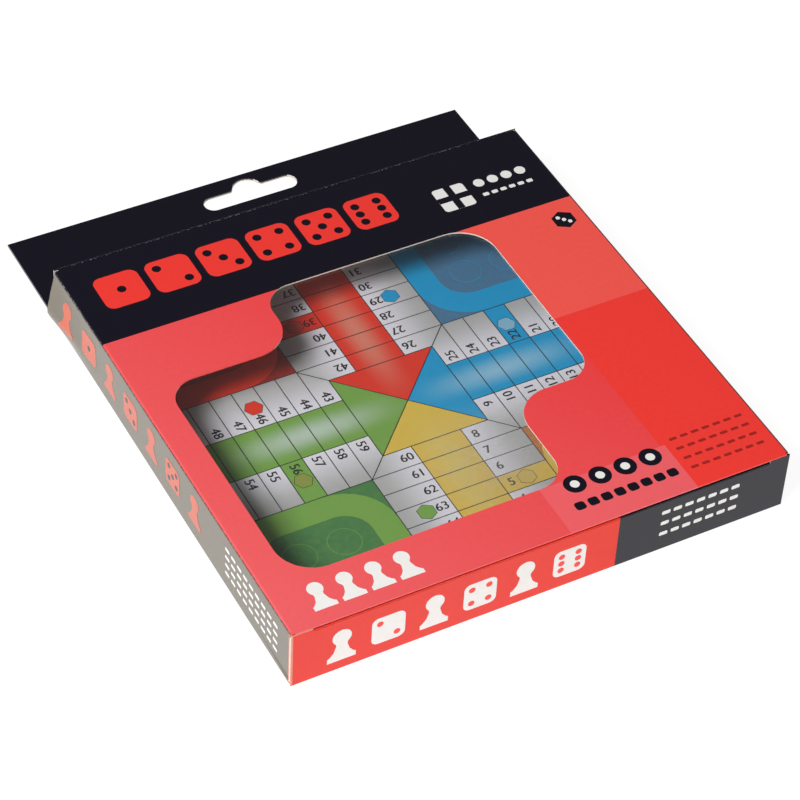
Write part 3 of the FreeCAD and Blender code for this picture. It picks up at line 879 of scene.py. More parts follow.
@dataclass
class PlayingBoard:
    """The board: a printed sheet with four arms of squares, a centre of triangles and four homes."""

    stencils: Stencils
    square: float = 17.5
    rows: int = 8
    columns: int = 3
    line: float = 0.17
    numeral: float = 4.6
    numeral_inset: float = 3.4
    # Each figure is printed twice, this far to both sides, for its heavy strokes
    bold: float = 0.09
    mark_row: int = 3
    mark_radius: float = 3.3
    home_corner: float = 17.0
    ring_width: float = 9.0
    inner_corner: float = 9.0
    seat_radius: float = 5.4
    seat_pitch: float = 15.0
    first_number: int = 26
    numbers: int = 68
    paper: BoardInk = BoardInk("board_squares", colour="#F1EBF3", shade_to="#BBB8B7", tone=Tone.SQUARE)
    lines: BoardInk = BoardInk("board_lines", colour="#2A2A2C", shade_to="#2A2A2C")
    figures: BoardInk = BoardInk("board_figures", colour="#232326", shade_to="#232326")

    def __post_init__(self) -> None:
        """Read the sheet's size and place from the frame."""
        low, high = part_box("playing_sheet")
        self.half = (high.x - low.x) / 2 / MM
        self.centre = Vector(((low.x + high.x) / 2, (low.y + high.y) / 2, high.z))
        # One row of squares lies inside the centre, the others beside the homes
        self.row = (self.half - self.columns * self.square / 2) / (self.rows - 1)
        self.inner = self.columns * self.square / 2 - self.row

    def row_middle(self, row: int) -> float:
        """Return how far a row's middle lies from the board's centre."""
        return self.inner + (row + 0.5) * self.row

    def print_arm(self, press: Press, arm: int) -> None:
        """Print an arm, its triangle and the home on its left.

        Args:
            press: The press that prints the board.
            arm: The arm's number, anticlockwise from the far side.
        """
        players = list(Player)
        own = player_ink(players[arm])
        guest = player_ink(players[arm - 1])
        turn = Matrix.Rotation(math.radians(90 * arm), 4, "Z")
        cell = self.stencils.rectangle(self.square, self.row)
        first = self.first_number + arm * (2 * self.rows + 1)
        for row in range(self.rows):
            y = self.row_middle(row)
            for side in (1, -1):
                shape = self.stencils.nipped(self.square, self.row, self.row, side) if row == 0 else cell
                start = side < 0 and row == self.mark_row
                inks = (own if start else self.paper, self.lines)
                place = (side * self.square, y)
                press.stamp(self.stencils.outlined(shape, self.line), inks, place, within=turn)
                step = row if side > 0 else 2 * self.rows - row
                self.print_number(press, first + step, side, y, turn)
                if row == self.mark_row:
                    mark = player_ink(players[arm], Use.MARK) if start else guest
                    hexagon = self.stencils.disc(self.mark_radius, HEXAGON)
                    shape = self.stencils.outlined(hexagon, self.line)
                    press.stamp(shape, (mark, self.lines), place, layer=1, within=turn)
            last = row == self.rows - 1
            inks = (self.paper if last else own, self.lines)
            press.stamp(self.stencils.outlined(cell, self.line), inks, (0.0, y), within=turn)
        self.print_number(press, first + self.rows, 0, self.row_middle(self.rows - 1), turn)
        wedge = self.stencils.outlined(self.stencils.wedge(2 * self.inner, self.inner), self.line)
        press.stamp(wedge, (own, self.lines), (0.0, self.inner / 2), within=turn)
        self.print_home(press, players[arm], turn)

    def print_number(self, press: Press, number: int, side: int, y: float, turn: Matrix) -> None:
        """Print a square's number, upright for the player who sits at that arm.

        Args:
            press: The press that prints the board.
            number: The number, before it wraps round the board.
            side: The square's column: 1 right, 0 middle or -1 left.
            y: How far the square's middle lies from the board's centre.
            turn: The arm's turn.
        """
        text = str((number - 1) % self.numbers + 1)
        x = side * (self.square / 2 + self.numeral_inset)
        shape = self.stencils.numeral(text, self.numeral)
        for layer, shift in ((1, -self.bold), (2, self.bold)):
            press.stamp(shape, (self.figures,), (x + shift, y), 180, layer, turn)

    def print_home(self, press: Press, player: Player, turn: Matrix) -> None:
        """Print a home: deep ground, a bright rounded ring and four seats for the counters.

        Args:
            press: The press that prints the board.
            player: Whose home it is.
            turn: The arm's turn.
        """
        bright = player_ink(player)
        deep = player_ink(player, Use.HOME)
        side = self.half - self.columns * self.square / 2
        x, y = side / 2 - self.half, self.half - side / 2
        ground = self.stencils.outlined(self.stencils.rectangle(side, side), self.line)
        press.stamp(ground, (deep, self.lines), (x, y), within=turn)
        outer = side - 2 * self.line
        press.stamp(self.stencils.rectangle(outer, outer, self.home_corner), (bright,), (x, y), 0, 1, turn)
        inner = outer - 2 * self.ring_width
        press.stamp(self.stencils.rectangle(inner, inner, self.inner_corner), (deep,), (x, y), 0, 2, turn)
        seat = self.stencils.outlined(self.stencils.disc(self.seat_radius), self.line)
        for right in (-1, 1):
            for up in (-1, 1):
                spot = (x + right * self.seat_pitch / 2, y + up * self.seat_pitch / 2)
                press.stamp(seat, (deep, bright), spot, 0, 3, turn)

    def build(self) -> None:
        """Print the sheet and dress the layers under it."""
        plane = Matrix.Translation(self.centre)
        press = Press("board_print", "board", "printed_paper", plane)
        for arm in range(len(Player)):
            self.print_arm(press, arm)
        press.deliver()
        sheet = Pulp("laminated_board_paper", colour="#D9D7D8", speck="#C2C0C0", roughness=0.4)
        core = Pulp("greyboard", colour="#8B8478", speck="#5E574C", fibre=0.8)
        lining = Pulp("black_lining_paper", colour="#2B2A2C", speck="#3C3B3D", roughness=0.8)
        steel = RolledSteel("rolled_tinplate")
        dress({"playing_sheet": sheet, "board_core": core, "backing_sheet": lining, "steel_sheet": steel})


def dress(finishes: dict[str, Finish]) -> None:
    """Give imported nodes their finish.

    Args:
        finishes: The finish of each node, by the node's name.
    """
    for node, finish in finishes.items():
        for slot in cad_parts[node].material_slots:
            slot.material = finish.material()
        log.info("%s: %s", node, finish.name)


@dataclass
class Counters:
    """Sixteen magnetic counters and a die."""

    set_size: int = 4

    def build(self) -> None:
        """Dress each cap in its player's colour, each magnet in ferrite and the die in ivory."""
        finishes: dict[str, Finish] = {"die": DiePlastic("ivory_die_plastic")}
        magnet = Ferrite("sintered_ferrite")
        for player in Player:
            cap = MouldedPlastic(f"{player.value}_polystyrene", colour=PLAYER_INKS[player].plastic)
            for index in range(1, self.set_size + 1):
                finishes[f"counter_{player.value}_{index}"] = cap
                finishes[f"magnet_{player.value}_{index}"] = magnet
        dress(finishes)


@dataclass
class Booklet:
    """The rules booklet: a folded cover, a page block and two wire staples through the spine."""

    wire: float = 0.25
    length: float = 11.0
    # How far along the spine the staples lie from its middle, and how much of the wire is rounded
    share_along: float = 0.25
    round_share: float = 1 / 3

    def build(self) -> None:
        """Dress the paper and set the staples in the spine."""
        cover = Pulp("booklet_cover_paper", colour="#E4E0D6", speck="#BDB7A8", roughness=0.7)
        pages = Pulp("booklet_pages", colour="#ECE8DF", speck="#CBC5B7", leaf=0.25)
        dress({"rules_cover": cover, "rules_pages": pages})
        low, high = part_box("rules_cover")
        for name, sign in (("lower", -1), ("upper", 1)):
            along = sign * self.share_along * (high.y - low.y)
            self.staple(f"{name}_staple", Vector((low.x, along, (low.z + high.z) / 2)))

    def staple(self, name: str, middle: Vector) -> None:
        """Model a staple's back: a short wire with rounded ends, flat along the spine.

        Args:
            name: The piece's name.
            middle: Its middle.
        """
        bpy.ops.object.select_all(action="DESELECT")
        size = (self.wire * MM, self.length * MM, self.wire * MM)
        bpy.ops.mesh.primitive_cube_add(size=1, location=middle)
        piece = bpy.context.view_layer.objects.active
        piece.name = name
        edit_all()
        bpy.ops.transform.resize(value=size)
        bpy.ops.mesh.bevel(offset=self.wire * MM * self.round_share, segments=2)
        bpy.ops.object.mode_set(mode="OBJECT")
        bpy.ops.object.transform_apply(location=True, rotation=True, scale=True)
        piece.data.materials.append(RolledSteel("staple_wire", roughness=0.28).material())
        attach(piece, "booklet")
        log.info("%s: wire", name)


@dataclass
class WindowFilm:
    """Clear film behind the window, glued flat at its rim and slightly puckered in the middle."""

    columns: int = 68
    rows: int = 63
    pucker: float = 0.45
    wave: float = 26.0
    ply: float = 0.1
    # Faces that meet at less than this many degrees are shaded smooth
    smooth: float = 40.0

    def build(self) -> None:
        """Model the film as a puckered sheet below the front panel."""
        low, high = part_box("window_film")
        middle = (low + high) / 2
        bpy.ops.object.select_all(action="DESELECT")
        bpy.ops.mesh.primitive_grid_add(
            x_subdivisions=self.columns, y_subdivisions=self.rows, size=1,
            location=(middle.x, middle.y, high.z),
        )
        piece = bpy.context.view_layer.objects.active
        piece.name = "puckered_window_film"
        edit_all()
        bpy.ops.transform.resize(value=(high.x - low.x, high.y - low.y, 1))
        bpy.ops.object.mode_set(mode="OBJECT")
        bpy.ops.object.transform_apply(location=True, rotation=True, scale=True)
        clouds = bpy.data.textures.new("film_pucker", "CLOUDS")
        clouds.noise_scale = self.wave * MM
        clouds.noise_depth = 1
        sag = {"texture": clouds, "texture_coords": "LOCAL", "direction": "Z", "mid_level": 1.0}
        apply_modifier(piece, "DISPLACE", strength=self.pucker * MM, **sag)
        bpy.data.textures.remove(clouds)
        apply_modifier(piece, "SOLIDIFY", thickness=self.ply * MM, offset=-1)
        bpy.ops.object.shade_smooth_by_angle(angle=math.radians(self.smooth))
        piece.data.materials.append(ClearFilm("clear_polyester_film").material())
        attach(piece, "carton")
        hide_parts("window_film")
        log.info("%s: modelled", piece.name)


@dataclass
class BulgedWall:
    """The left wall, which has sprung out between its folds at the hang tab's end."""

    bulge: float = 3.0
    start: float = 45.0
    reach: float = 15.0
    pitch: float = 2.0
    tuck: float = 0.6
    # Corners nearer than this are welded, and faces that meet at less than these degrees are shaded smooth
    weld: float = 0.01
    smooth: float = 30.0
    # Shares of the bulge along the wall from its start, and up it from the back fold
    run: tuple[float, ...] = (0.0, 0.06, 0.25, 0.56, 1.0)
    rise: tuple[float, ...] = (0.0, 1.0, 0.8, 0.4, 0.0)

    def __post_init__(self) -> None:
        """Read the wall's place from the frame."""
        low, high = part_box("left_side_panel")
        self.low = Vector((low.x, self.start * MM, low.z))
        self.high = Vector((low.x + self.reach * MM, high.y, high.z))

    def cage(self, tuck: float = 0.0) -> Object:
        """Set up a lattice with its outer points drawn outward.

        Args:
            tuck: How much less far they are drawn at the wall's end.

        Returns:
            The lattice.
        """
        bpy.ops.object.select_all(action="DESELECT")
        bpy.ops.object.add(type="LATTICE", location=(self.low + self.high) / 2)
        cage = bpy.context.view_layer.objects.active
        shape = cage.data
        shape.points_u, shape.points_v, shape.points_w = 2, len(self.run), len(self.rise)
        shape.interpolation_type_u = "KEY_LINEAR"
        shape.interpolation_type_v = shape.interpolation_type_w = "KEY_CARDINAL"
        corner = shape.points[-1].co
        cage.scale = [size / (2 * half) for size, half in zip(self.high - self.low, corner)]
        outer = [point for index, point in enumerate(shape.points) if index % 2 == 0]
        for index, point in enumerate(outer):
            along = self.run[index % len(self.run)]
            drawn = along * (self.rise[index // len(self.run)] * self.bulge - tuck)
            point.co_deform.x -= drawn * MM / cage.scale.x
        return cage

    def bend(self, piece: Object, cage: Object) -> None:
        """Slice a piece into fine strips and bend it.

        Args:
            piece: What to bend.
            cage: The lattice.
        """
        select_only(piece)
        bpy.ops.object.mode_set(mode="EDIT")
        for axis, way in ((1, (0, 1, 0)), (2, (0, 0, 1))):
            slices = round((self.high[axis] - self.low[axis]) / (self.pitch * MM))
            for step in range(slices):
                place = self.low.lerp(self.high, step / slices)
                bpy.ops.mesh.select_all(action="SELECT")
                bpy.ops.mesh.bisect(plane_co=place, plane_no=way)
        bpy.ops.object.mode_set(mode="OBJECT")
        apply_modifier(piece, "LATTICE", object=cage)

    def build(self, wall_print: Object) -> None:
        """Bend the wall, the dust flap on it and its print.

        Args:
            wall_print: The print on the wall.
        """
        whole = self.cage()
        self.bend(wall_print, whole)
        # The flap's fold stays inside the wall, so that it clears the wall's end as the flap turns
        inside = self.cage(self.tuck)
        jobs = (("left_side_panel", "carton", whole), ("top_left_dust_flap", "top_left_flap", inside))
        for node, body, cage in jobs:
            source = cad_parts[node]
            piece = bpy.data.objects.new(f"sprung_{node}", source.data.copy())
            piece.data.transform(source.matrix_world)
            bpy.context.scene.collection.objects.link(piece)
            select_only(piece)
            edit_all()
            bpy.ops.mesh.remove_doubles(threshold=self.weld * MM)
            bpy.ops.object.mode_set(mode="OBJECT")
            self.bend(piece, cage)
            bpy.ops.object.shade_smooth_by_angle(angle=math.radians(self.smooth))
            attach(piece, body)
            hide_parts(node)
            log.info("%s: bent outward", piece.name)
        for cage in (whole, inside):
            bpy.data.lattices.remove(cage.data)


# A printed die's corner and pip radii and its pips' distance from the middle, as shares of its side
DIE_CORNER_SHARE, PIP_SHARE, PIP_PITCH_SHARE = 0.2, 0.1, 0.26
# A bar's corner radius, as a share of its lesser side
BAR_CORNER_SHARE = 0.3


@dataclass(frozen=True)
class Row:
    """A row of like signs: the first one's middle, their pitch, number and size."""

    first: Pair
    pitch: float
    count: int
    size: float

    def spots(self) -> list[Pair]:
        """Return the signs' middles, from the left."""
        return [(self.first[0] + self.pitch * step, self.first[1]) for step in range(self.count)]


@dataclass(frozen=True)
class Tally:
    """Rows of small bars: the upper left one's middle, bars along and rows, a bar's size and the pitches."""

    corner: Pair
    count: tuple[int, int]
    bar: Pair
    pitch: Pair

    def spots(self) -> list[Pair]:
        """Return the bars' middles, column by column."""
        places = [(column, row) for column in range(self.count[0]) for row in range(self.count[1])]
        (x, y), (along, down) = self.corner, self.pitch
        return [(x + column * along, y - row * down) for column, row in places]


@dataclass
class Carton:
    """The folding carton: dressed card panels and the generic print on four of its faces."""

    stencils: Stencils
    navy: str = "#0F0D1B"
    red: str = "#F03B33"
    coral: str = "#E85E61"
    coral_fade: str = "#EC3435"
    pink: str = "#EC5F64"
    orange: str = "#F3574D"
    scarlet: str = "#E43224"
    scarlet_fade: str = "#E62600"
    sign_red: str = "#EE3A32"
    deep_red: str = "#9E2420"
    # The sides' ground and signs: their dark print and red signs lightened by a painted reflection of the
    # pale floor
    taupe_with_painted_reflection: str = "#6B6355"
    salmon_with_painted_reflection: str = "#C9583A"
    edge_salmon: str = "#D98C78"
    white: str = "#ECEAE6"
    worn: str = "#B5B0AA"
    # Dark red painted as shade in the side folds
    painted_fold_shade: str = "#6B2B2A"
    # The front's blocks: the dark band's edge, the coral's, the orange's corner and the pink one's limits
    band_edge: float = 47.0
    coral_edge: float = 50.0
    orange_corner: Pair = (30.0, -2.8)
    pink_span: Span = (7.5, 51.5)
    pink_top: float = -66.0
    # The step of the window's cut, along X and Y, whose cut edge gets red ink in place of pale pulp as
    # painted shade
    shaded_step: tuple[Span, Span] = ((None, -29.0), (20.0, 23.0))
    # How far the top crease is rubbed
    rub: float = 0.6
    # The bottom closure: where its dark half starts, and where its red starts to fade
    side_split: float = 24.5
    scarlet_start: float = -25.0
    # Its pale left edge and that edge's cut, and where its slit starts and how deep it shows
    pale_edge: float = 0.7
    pale_cut: float = 0.5
    slit_start: float = 7.0
    slit_depth: float = 0.9
    # A closure and its lip face away from a point this far in, at this share of the depth from the hinge
    inside: float = 5.5
    inside_share: float = 0.6
    # How far the side panels' cut ends and their ink reach in from the carton's ends
    side_end: float = 1.4
    # The front's print runs this far over the side folds, and ends in a dark line of painted shade in the
    # fold, this wide; the painted shade along the right fold reaches this far in
    wrap: float = 0.3
    fold_line: float = 0.5
    edge_line: float = 0.9
    # The side prints stand this clear of the card, so that they stay outside where it bulges
    clear: float = 0.03
    # The gap at the near left corner of the front, which the card's coating bridges
    web: Pair = (1.3, 1.1)
    # The signs in the front's band
    title: Row = Row((-68.5, 68.0), 17.8, 6, 15.2)
    board_sign: Pair = (48.5, 62.5)
    board_side: float = 11.5
    board_corner: float = 1.2
    board_cross: float = 2.6
    discs: Row = Row((59.5, 65.6), 5.2, 4, 1.9)
    contents: Tally = Tally((59.0, 59.6), (6, 1), (2.2, 1.5), (3.3, 3.0))
    # The signs on the front's red
    badge: Pair = (76.0, 37.5)
    badge_radius: float = 4.2
    dot_radius: float = 0.75
    dot_pitch: float = 1.5
    rings: Row = Row((18.5, -68.5), 8.8, 4, 3.6)
    ring_bore: float = 1.5
    ring_bars: Tally = Tally((15.5, -77.0), (8, 1), (3.4, 3.2), (4.6, 3.0))
    note: Tally = Tally((55.2, -64.8), (7, 4), (2.6, 1.1), (3.9, 4.3))
    pawns: Row = Row((-70.5, -75.2), 9.4, 4, 10.5)
    # The signs on the sides and on the bottom closure
    side_signs: Row = Row((-73.0, 0.8), 15.6, 7, 12.0)
    side_die: float = 10.0
    side_note: Tally = Tally((43.5, 5.5), (9, 4), (2.8, 1.2), (4.0, 3.4))
    end_signs: Row = Row((-68.0, -1.0), 15.2, 6, 13.0)
    end_die: float = 11.0
    end_note: Tally = Tally((41.0, 5.0), (7, 3), (2.9, 1.5), (4.1, 4.6))

    def __post_init__(self) -> None:
        """Read the carton's outer faces from the frame."""
        side_low, side_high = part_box("left_side_panel")
        closure_low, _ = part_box("bottom_closure_panel")
        self.left = side_low.x / MM
        self.front = side_high.z / MM
        self.bottom = closure_low.y / MM
        self.top = -self.bottom
        self.tab_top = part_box("hang_tab_front_ply")[1].y / MM

    def front_zones(self) -> tuple[Zone, ...]:
        """Return the front's tonal blocks of red, with the dark band over them."""
        orange_left, orange_low = self.orange_corner
        return (
            Zone(self.red),
            Zone(self.coral, x=(None, self.coral_edge), fade=self.coral_fade),
            Zone(self.orange, x=(orange_left, None), y=(orange_low, None)),
            Zone(self.pink, x=self.pink_span, y=(None, self.pink_top)),
            Zone(self.navy, y=(self.band_edge, None)),
        )

    def dress_panels(self) -> None:
        """Give each card panel its print, its raw edges and its rubbed creases."""
        near_end = Zone(self.red, y=(None, self.bottom + self.side_end))
        front = PrintedCard(
            "gloss_card_front", zones=self.front_zones(), cut_axes=(0, 1),
            # The red on the window step's cut edge is painted shade
            inked_cuts=(near_end, Zone(self.red, *self.shaded_step)),
            rubbed=(Zone(self.worn, y=(self.top - self.rub, None)),),
        )
        line_top = self.front - self.wrap
        line_low = line_top - self.fold_line
        # Dark red bands of painted shade lie in the folds, standing for the shadow in the creases
        folded = (
            Zone(self.painted_fold_shade, z=(None, line_top)),
            Zone(self.painted_fold_shade, x=(-self.left - self.edge_line, None), y=(None, self.band_edge)),
            Zone(self.navy, y=(self.band_edge, None), z=(None, line_top)),
            # Below the fold the side is taupe: its dark print lightened by a painted reflection of the floor
            Zone(self.taupe_with_painted_reflection, z=(None, line_low)),
            Zone(self.edge_salmon, y=(None, self.bottom + self.side_end), z=(None, line_low)),
        )
        side = PrintedCard(
            "gloss_card_side", zones=(*self.front_zones(), *folded), cut_axes=(1,),
            inked_cuts=(near_end, Zone(self.navy, y=(self.top - self.side_end, None))),
            # Matt rubbed specks break the painted shade bands in the folds into dashes
            rubbed=(Zone(self.taupe_with_painted_reflection, z=(line_low, line_top)),),
        )
        dark_end = Zone(self.navy, y=(self.band_edge, None))
        back = PrintedCard("gloss_card_back", zones=(Zone(self.red), dark_end), cut_axes=(1,))
        below_tab = (0.0, self.tab_top, -self.front)
        tab = PrintedCard("gloss_card_tab", zones=(Zone(self.navy),), middle=below_tab)
        slit = (self.front - self.slit_depth, None)
        split = (
            Zone(self.scarlet, fade=self.scarlet_fade), Zone(self.navy, x=(self.side_split, None)),
            Zone(self.edge_salmon, x=(None, self.left + self.pale_edge)),
            Zone(self.edge_salmon, x=(None, self.left + self.slit_start), z=slit),
        )
        low_end = PrintedCard(
            "gloss_card_bottom", ior=1.42, zones=split, cut_axes=(0,), fade_way=(1.0, 0.0, 0.0),
            fade_span=(self.scarlet_start, self.side_split),
            middle=(0.0, self.bottom + self.inside, self.front * self.inside_share),
            inked_cuts=(Zone(self.edge_salmon, x=(None, self.left + self.pale_cut)),),
        )
        above_lip = (0.0, self.top - self.inside, self.front * (1 - self.inside_share))
        high_end = PrintedCard("gloss_card_top", zones=(Zone(self.navy),), cut_axes=(0,), middle=above_lip)
        raw = Pulp("raw_box_board", colour="#E9E2D3", speck="#B9B09C", fibre=0.4)
        finishes: dict[str, Finish] = {
            "front_panel": front, "left_side_panel": side, "right_side_panel": side, "back_panel": back,
            "hang_tab_front_ply": tab, "bottom_closure_panel": low_end, "bottom_tuck_lip": low_end,
            "top_closure_panel": high_end, "top_tuck_lip": high_end, "glue_flap": raw,
        }
        for end in ("bottom", "top"):
            for hand in ("left", "right"):
                finishes[f"{end}_{hand}_dust_flap"] = raw
        dress(finishes)

    def ink(self, colour: str) -> CardInk:
        """Return the card ink of one of the carton's colours."""
        return CardInk(f"card_ink_{colour.lstrip('#').lower()}", colour=colour)

    def die_face(self, press: Press, value: int, at: Pair, side: float, face: str, pip: str) -> None:
        """Print a die's face.

        Args:
            press: The press of the carton's face.
            value: Its number of pips.
            at: Its middle.
            side: Its side.
            face: The face's colour.
            pip: The pips' colour.
        """
        press.stamp(self.stencils.rectangle(side, side, side * DIE_CORNER_SHARE), (self.ink(face),), at)
        one, two = [(0, 0)], [(-1, 1), (1, -1)]
        four = two + [(-1, -1), (1, 1)]
        spots = {1: one, 2: two, 3: two + one, 4: four, 5: four + one, 6: four + [(-1, 0), (1, 0)]}
        for right, up in spots[value]:
            spot = (at[0] + right * side * PIP_PITCH_SHARE, at[1] + up * side * PIP_PITCH_SHARE)
            press.stamp(self.stencils.disc(side * PIP_SHARE, PIP_SIDES), (self.ink(pip),), spot, layer=1)

    def pawn(self, press: Press, at: Pair, height: float, colour: str) -> None:
        """Print a pawn about a place."""
        foot = at[1] - (1 - PAWN_SHARES[0][0]) / 2 * height
        press.stamp(self.stencils.pawn(height), (self.ink(colour),), (at[0], foot))

    def tally(self, press: Press, bars: Tally, colour: str) -> None:
        """Print rows of small bars.

        Args:
            press: The press of the carton's face.
            bars: Where they go, and their size.
            colour: The bars' colour.
        """
        bar = self.stencils.rectangle(*bars.bar, min(bars.bar) * BAR_CORNER_SHARE)
        for spot in bars.spots():
            press.stamp(bar, (self.ink(colour),), spot)

    def signs(self, press: Press, row: Row, die: float, more: int, colours: tuple[str, str]) -> None:
        """Print pawns and dice in turn along a row.

        Args:
            press: The press of the carton's face.
            row: Where they go, and the pawns' height.
            die: A die's side.
            more: How much a die's value is over its place in the row.
            colours: The signs' colour and the pips'.
        """
        for index, at in enumerate(row.spots()):
            if index % 2:
                self.die_face(press, index + more, at, die, *colours)
            else:
                self.pawn(press, at, row.size, colours[0])

    def print_front(self) -> None:
        """Print the front: a row of die faces in the band and small plain signs on the red."""
        plane = Matrix.Translation((0, 0, self.front * MM))
        press = Press("front_print", "carton", "printed_card", plane)
        dark, white = (self.ink(self.navy),), (self.ink(self.white),)
        across, along = (half - size / 2 for half, size in zip((-self.left, self.top), self.web))
        press.stamp(self.stencils.rectangle(*self.web), (self.ink(self.coral),), (-across, -along))
        for value, at in enumerate(self.title.spots(), 1):
            self.die_face(press, value, at, self.title.size, self.sign_red, self.navy)
        board = self.stencils.rectangle(self.board_side, self.board_side, self.board_corner)
        press.stamp(board, white, self.board_sign)
        cross = self.stencils.rectangle(self.board_side, self.board_cross)
        for layer, turn in ((1, 0), (2, 90)):
            press.stamp(cross, dark, self.board_sign, turn, layer)
        for spot in self.discs.spots():
            press.stamp(self.stencils.disc(self.discs.size), white, spot)
        self.tally(press, self.contents, self.white)
        press.stamp(self.stencils.disc(self.badge_radius, HEXAGON), dark, self.badge)
        for step in (-self.dot_pitch, 0.0, self.dot_pitch):
            spot = (self.badge[0] + step, self.badge[1] - step)
            press.stamp(self.stencils.disc(self.dot_radius, DOT_SIDES), white, spot, layer=1)
        for spot in self.rings.spots():
            press.stamp(self.stencils.disc(self.rings.size), dark, spot)
            press.stamp(self.stencils.disc(self.ring_bore), white, spot, layer=1)
        self.tally(press, self.ring_bars, self.navy)
        self.tally(press, self.note, self.deep_red)
        for spot in self.pawns.spots():
            self.pawn(press, spot, self.pawns.size, self.white)
        press.deliver()

    def print_side(self, name: str, hand: int) -> Object:
        """Print a side: game signs in salmon, which is red print lightened by a painted reflection of the
        floor, and a white tally, read from that side.

        Args:
            name: The side's name.
            hand: 1 for the right side, -1 for the left one.

        Returns:
            The print.
        """
        turned = Matrix(((0, 0, hand), (hand, 0, 0), (0, 1, 0))).to_4x4()
        plane = Matrix.Translation((hand * (self.clear - self.left) * MM, 0, self.front / 2 * MM)) @ turned
        press = Press(f"{name}_side_print", "carton", "printed_card", plane)
        self.signs(press, self.side_signs, self.side_die, 0, (self.salmon_with_painted_reflection, self.navy))
        self.tally(press, self.side_note, self.white)
        return press.deliver()

    def print_bottom(self) -> None:
        """Print the bottom closure: white game signs on the red and a white tally on the dark."""
        turned = Matrix(((1, 0, 0), (0, 0, -1), (0, 1, 0))).to_4x4()
        plane = Matrix.Translation((0, self.bottom * MM, self.front / 2 * MM)) @ turned
        press = Press("bottom_print", "bottom_closure", "printed_card", plane)
        self.signs(press, self.end_signs, self.end_die, 1, (self.white, self.red))
        self.tally(press, self.end_note, self.white)
        press.deliver()

    def build(self) -> None:
        """Dress and print the carton."""
        self.dress_panels()
        self.print_front()
        BulgedWall().build(self.print_side("left", -1))
        self.print_side("right", 1)
        self.print_bottom()


@dataclass(frozen=True)
class SoftBox:
    """A square lamp: its name, its place and side in metres, its watts and whether gloss mirrors it."""

    name: str
    at: Point
    size: float
    watts: float
    glare: bool = True

    def hang(self) -> None:
        """Hang the lamp so that it faces the object."""
        lamp = bpy.data.lights.new(self.name, "AREA")
        lamp.size = self.size
        lamp.energy = self.watts
        holder = bpy.data.objects.new(self.name, lamp)
        holder.location = self.at
        holder.visible_glossy = self.glare
        holder.rotation_euler = (-Vector(self.at)).to_track_quat("-Z", "Y").to_euler()
        bpy.context.scene.collection.objects.link(holder)


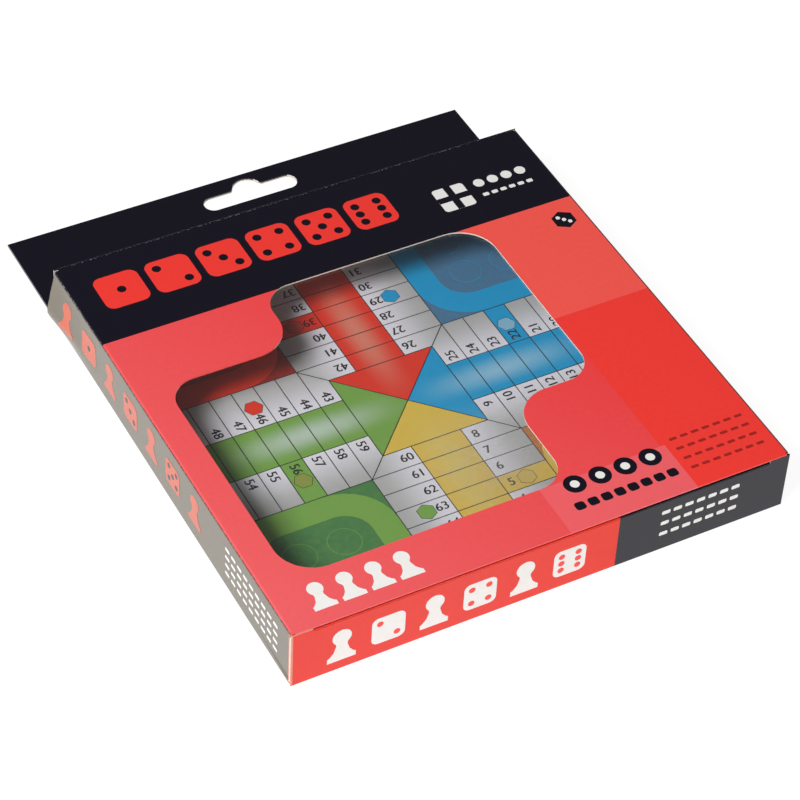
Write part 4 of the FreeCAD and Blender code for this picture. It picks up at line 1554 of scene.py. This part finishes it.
@dataclass
class Studio:
    """A pale floor, soft studio light and the camera."""

    lamps: tuple[SoftBox, ...] = (
        SoftBox("key_soft_box", (-1.1, -0.45, 1.25), 0.6, 35.5),
        SoftBox("fill_soft_box", (0.35, -1.5, 0.32), 0.6, 3.6, glare=False),
    )
    floor: float = 8.0
    floor_gap: float = 0.3
    # How much of the floor that the camera sees glows, and how brightly: together less than 1, which is white
    backdrop_share: float = 0.85
    backdrop_glow: float = 1.1
    # The room's light at the horizon and overhead, and how far rays rise where it starts and ends to change
    room_light: Pair = (0.75, 0.1)
    room_fade: Pair = (0.05, 0.35)
    # The camera's place, the ways it looks and its right side points, and its lens and sensor
    eye: Point = (-345.0, -588.0, 670.5)
    ahead: Point = (0.3590, 0.6187, -0.6988)
    right: Point = (0.8839, -0.4658, 0.0417)
    lens: float = 136.06
    sensor: float = 36.0
    nearest: float = 10.0

    def lay_floor(self) -> None:
        """Lay a white floor that keeps the object's shadow."""
        bpy.ops.object.select_all(action="DESELECT")
        bpy.ops.mesh.primitive_plane_add(size=self.floor, location=(0, 0, -self.floor_gap * MM))
        floor = bpy.context.view_layer.objects.active
        floor.name = "studio_floor"
        paint = bpy.data.materials.new("white_studio_floor")
        paint.use_nodes = True
        tree = paint.node_tree
        tree.nodes.clear()
        path = add_node(tree, "LightPath")
        seen = path.outputs["Is Camera Ray"]
        for ray in ("Is Glossy Ray", "Is Transmission Ray"):
            seen = add_node(tree, "Math", {0: seen, 1: path.outputs[ray]}, operation="MAXIMUM").outputs[0]
        share = add_node(tree, "Math", {0: seen, 1: self.backdrop_share}, operation="MULTIPLY")
        matt = add_node(tree, "BsdfDiffuse", {"Color": linear("#F4F4F4")})
        glow = add_node(tree, "Emission", {"Color": linear("#FFFFFF"), "Strength": self.backdrop_glow})
        add_node(tree, "OutputMaterial", {0: add_node(tree, "MixShader", {0: share, 1: matt, 2: glow})})
        floor.data.materials.append(paint)

    def light_world(self) -> None:
        """Light the room: white at the horizon and dim overhead, as a studio's ceiling is."""
        world = bpy.data.worlds.new("studio_room")
        bpy.context.scene.world = world
        world.use_nodes = True
        tree = world.node_tree
        tree.nodes.clear()
        way = add_node(tree, "SeparateXYZ", {0: add_node(tree, "TexCoord").outputs["Generated"]})
        fade = dict(zip(("From Min", "From Max", "To Min", "To Max"), self.room_fade + self.room_light))
        level = add_node(tree, "MapRange", {"Value": way.outputs["Z"], **fade})
        room = add_node(tree, "Background", {"Color": linear("#FFFFFF"), "Strength": level})
        add_node(tree, "OutputWorld", {0: room})

    def set_camera(self) -> None:
        """Set the camera where the photograph was taken from."""
        ahead = Vector(self.ahead).normalized()
        right = Vector(self.right)
        right = (right - right.dot(ahead) * ahead).normalized()
        up = right.cross(ahead)
        lens = bpy.data.cameras.new("studio_camera")
        lens.lens = self.lens
        lens.sensor_width = self.sensor
        lens.clip_start = self.nearest * MM
        camera = bpy.data.objects.new("studio_camera", lens)
        turn = Matrix((right, up, -ahead)).transposed().to_4x4()
        camera.matrix_world = Matrix.Translation(Vector(self.eye) * MM) @ turn
        bpy.context.scene.collection.objects.link(camera)
        bpy.context.scene.camera = camera

    def build(self) -> None:
        """Set up the floor, lamps, room and camera."""
        bpy.context.scene.view_settings.view_transform = "Standard"
        self.lay_floor()
        self.light_world()
        for lamp in self.lamps:
            lamp.hang()
        self.set_camera()


def main() -> None:
    """Build the object's looks and the studio, piece by piece."""
    logging.basicConfig(level=logging.INFO, format="%(name)s %(message)s")
    stencils = Stencils()
    for assembly in (Carton(stencils), WindowFilm(), PlayingBoard(stencils), Booklet(), Counters(), Studio()):
        assembly.build()
    stencils.clear()


if __name__ == "__main__":
    main()
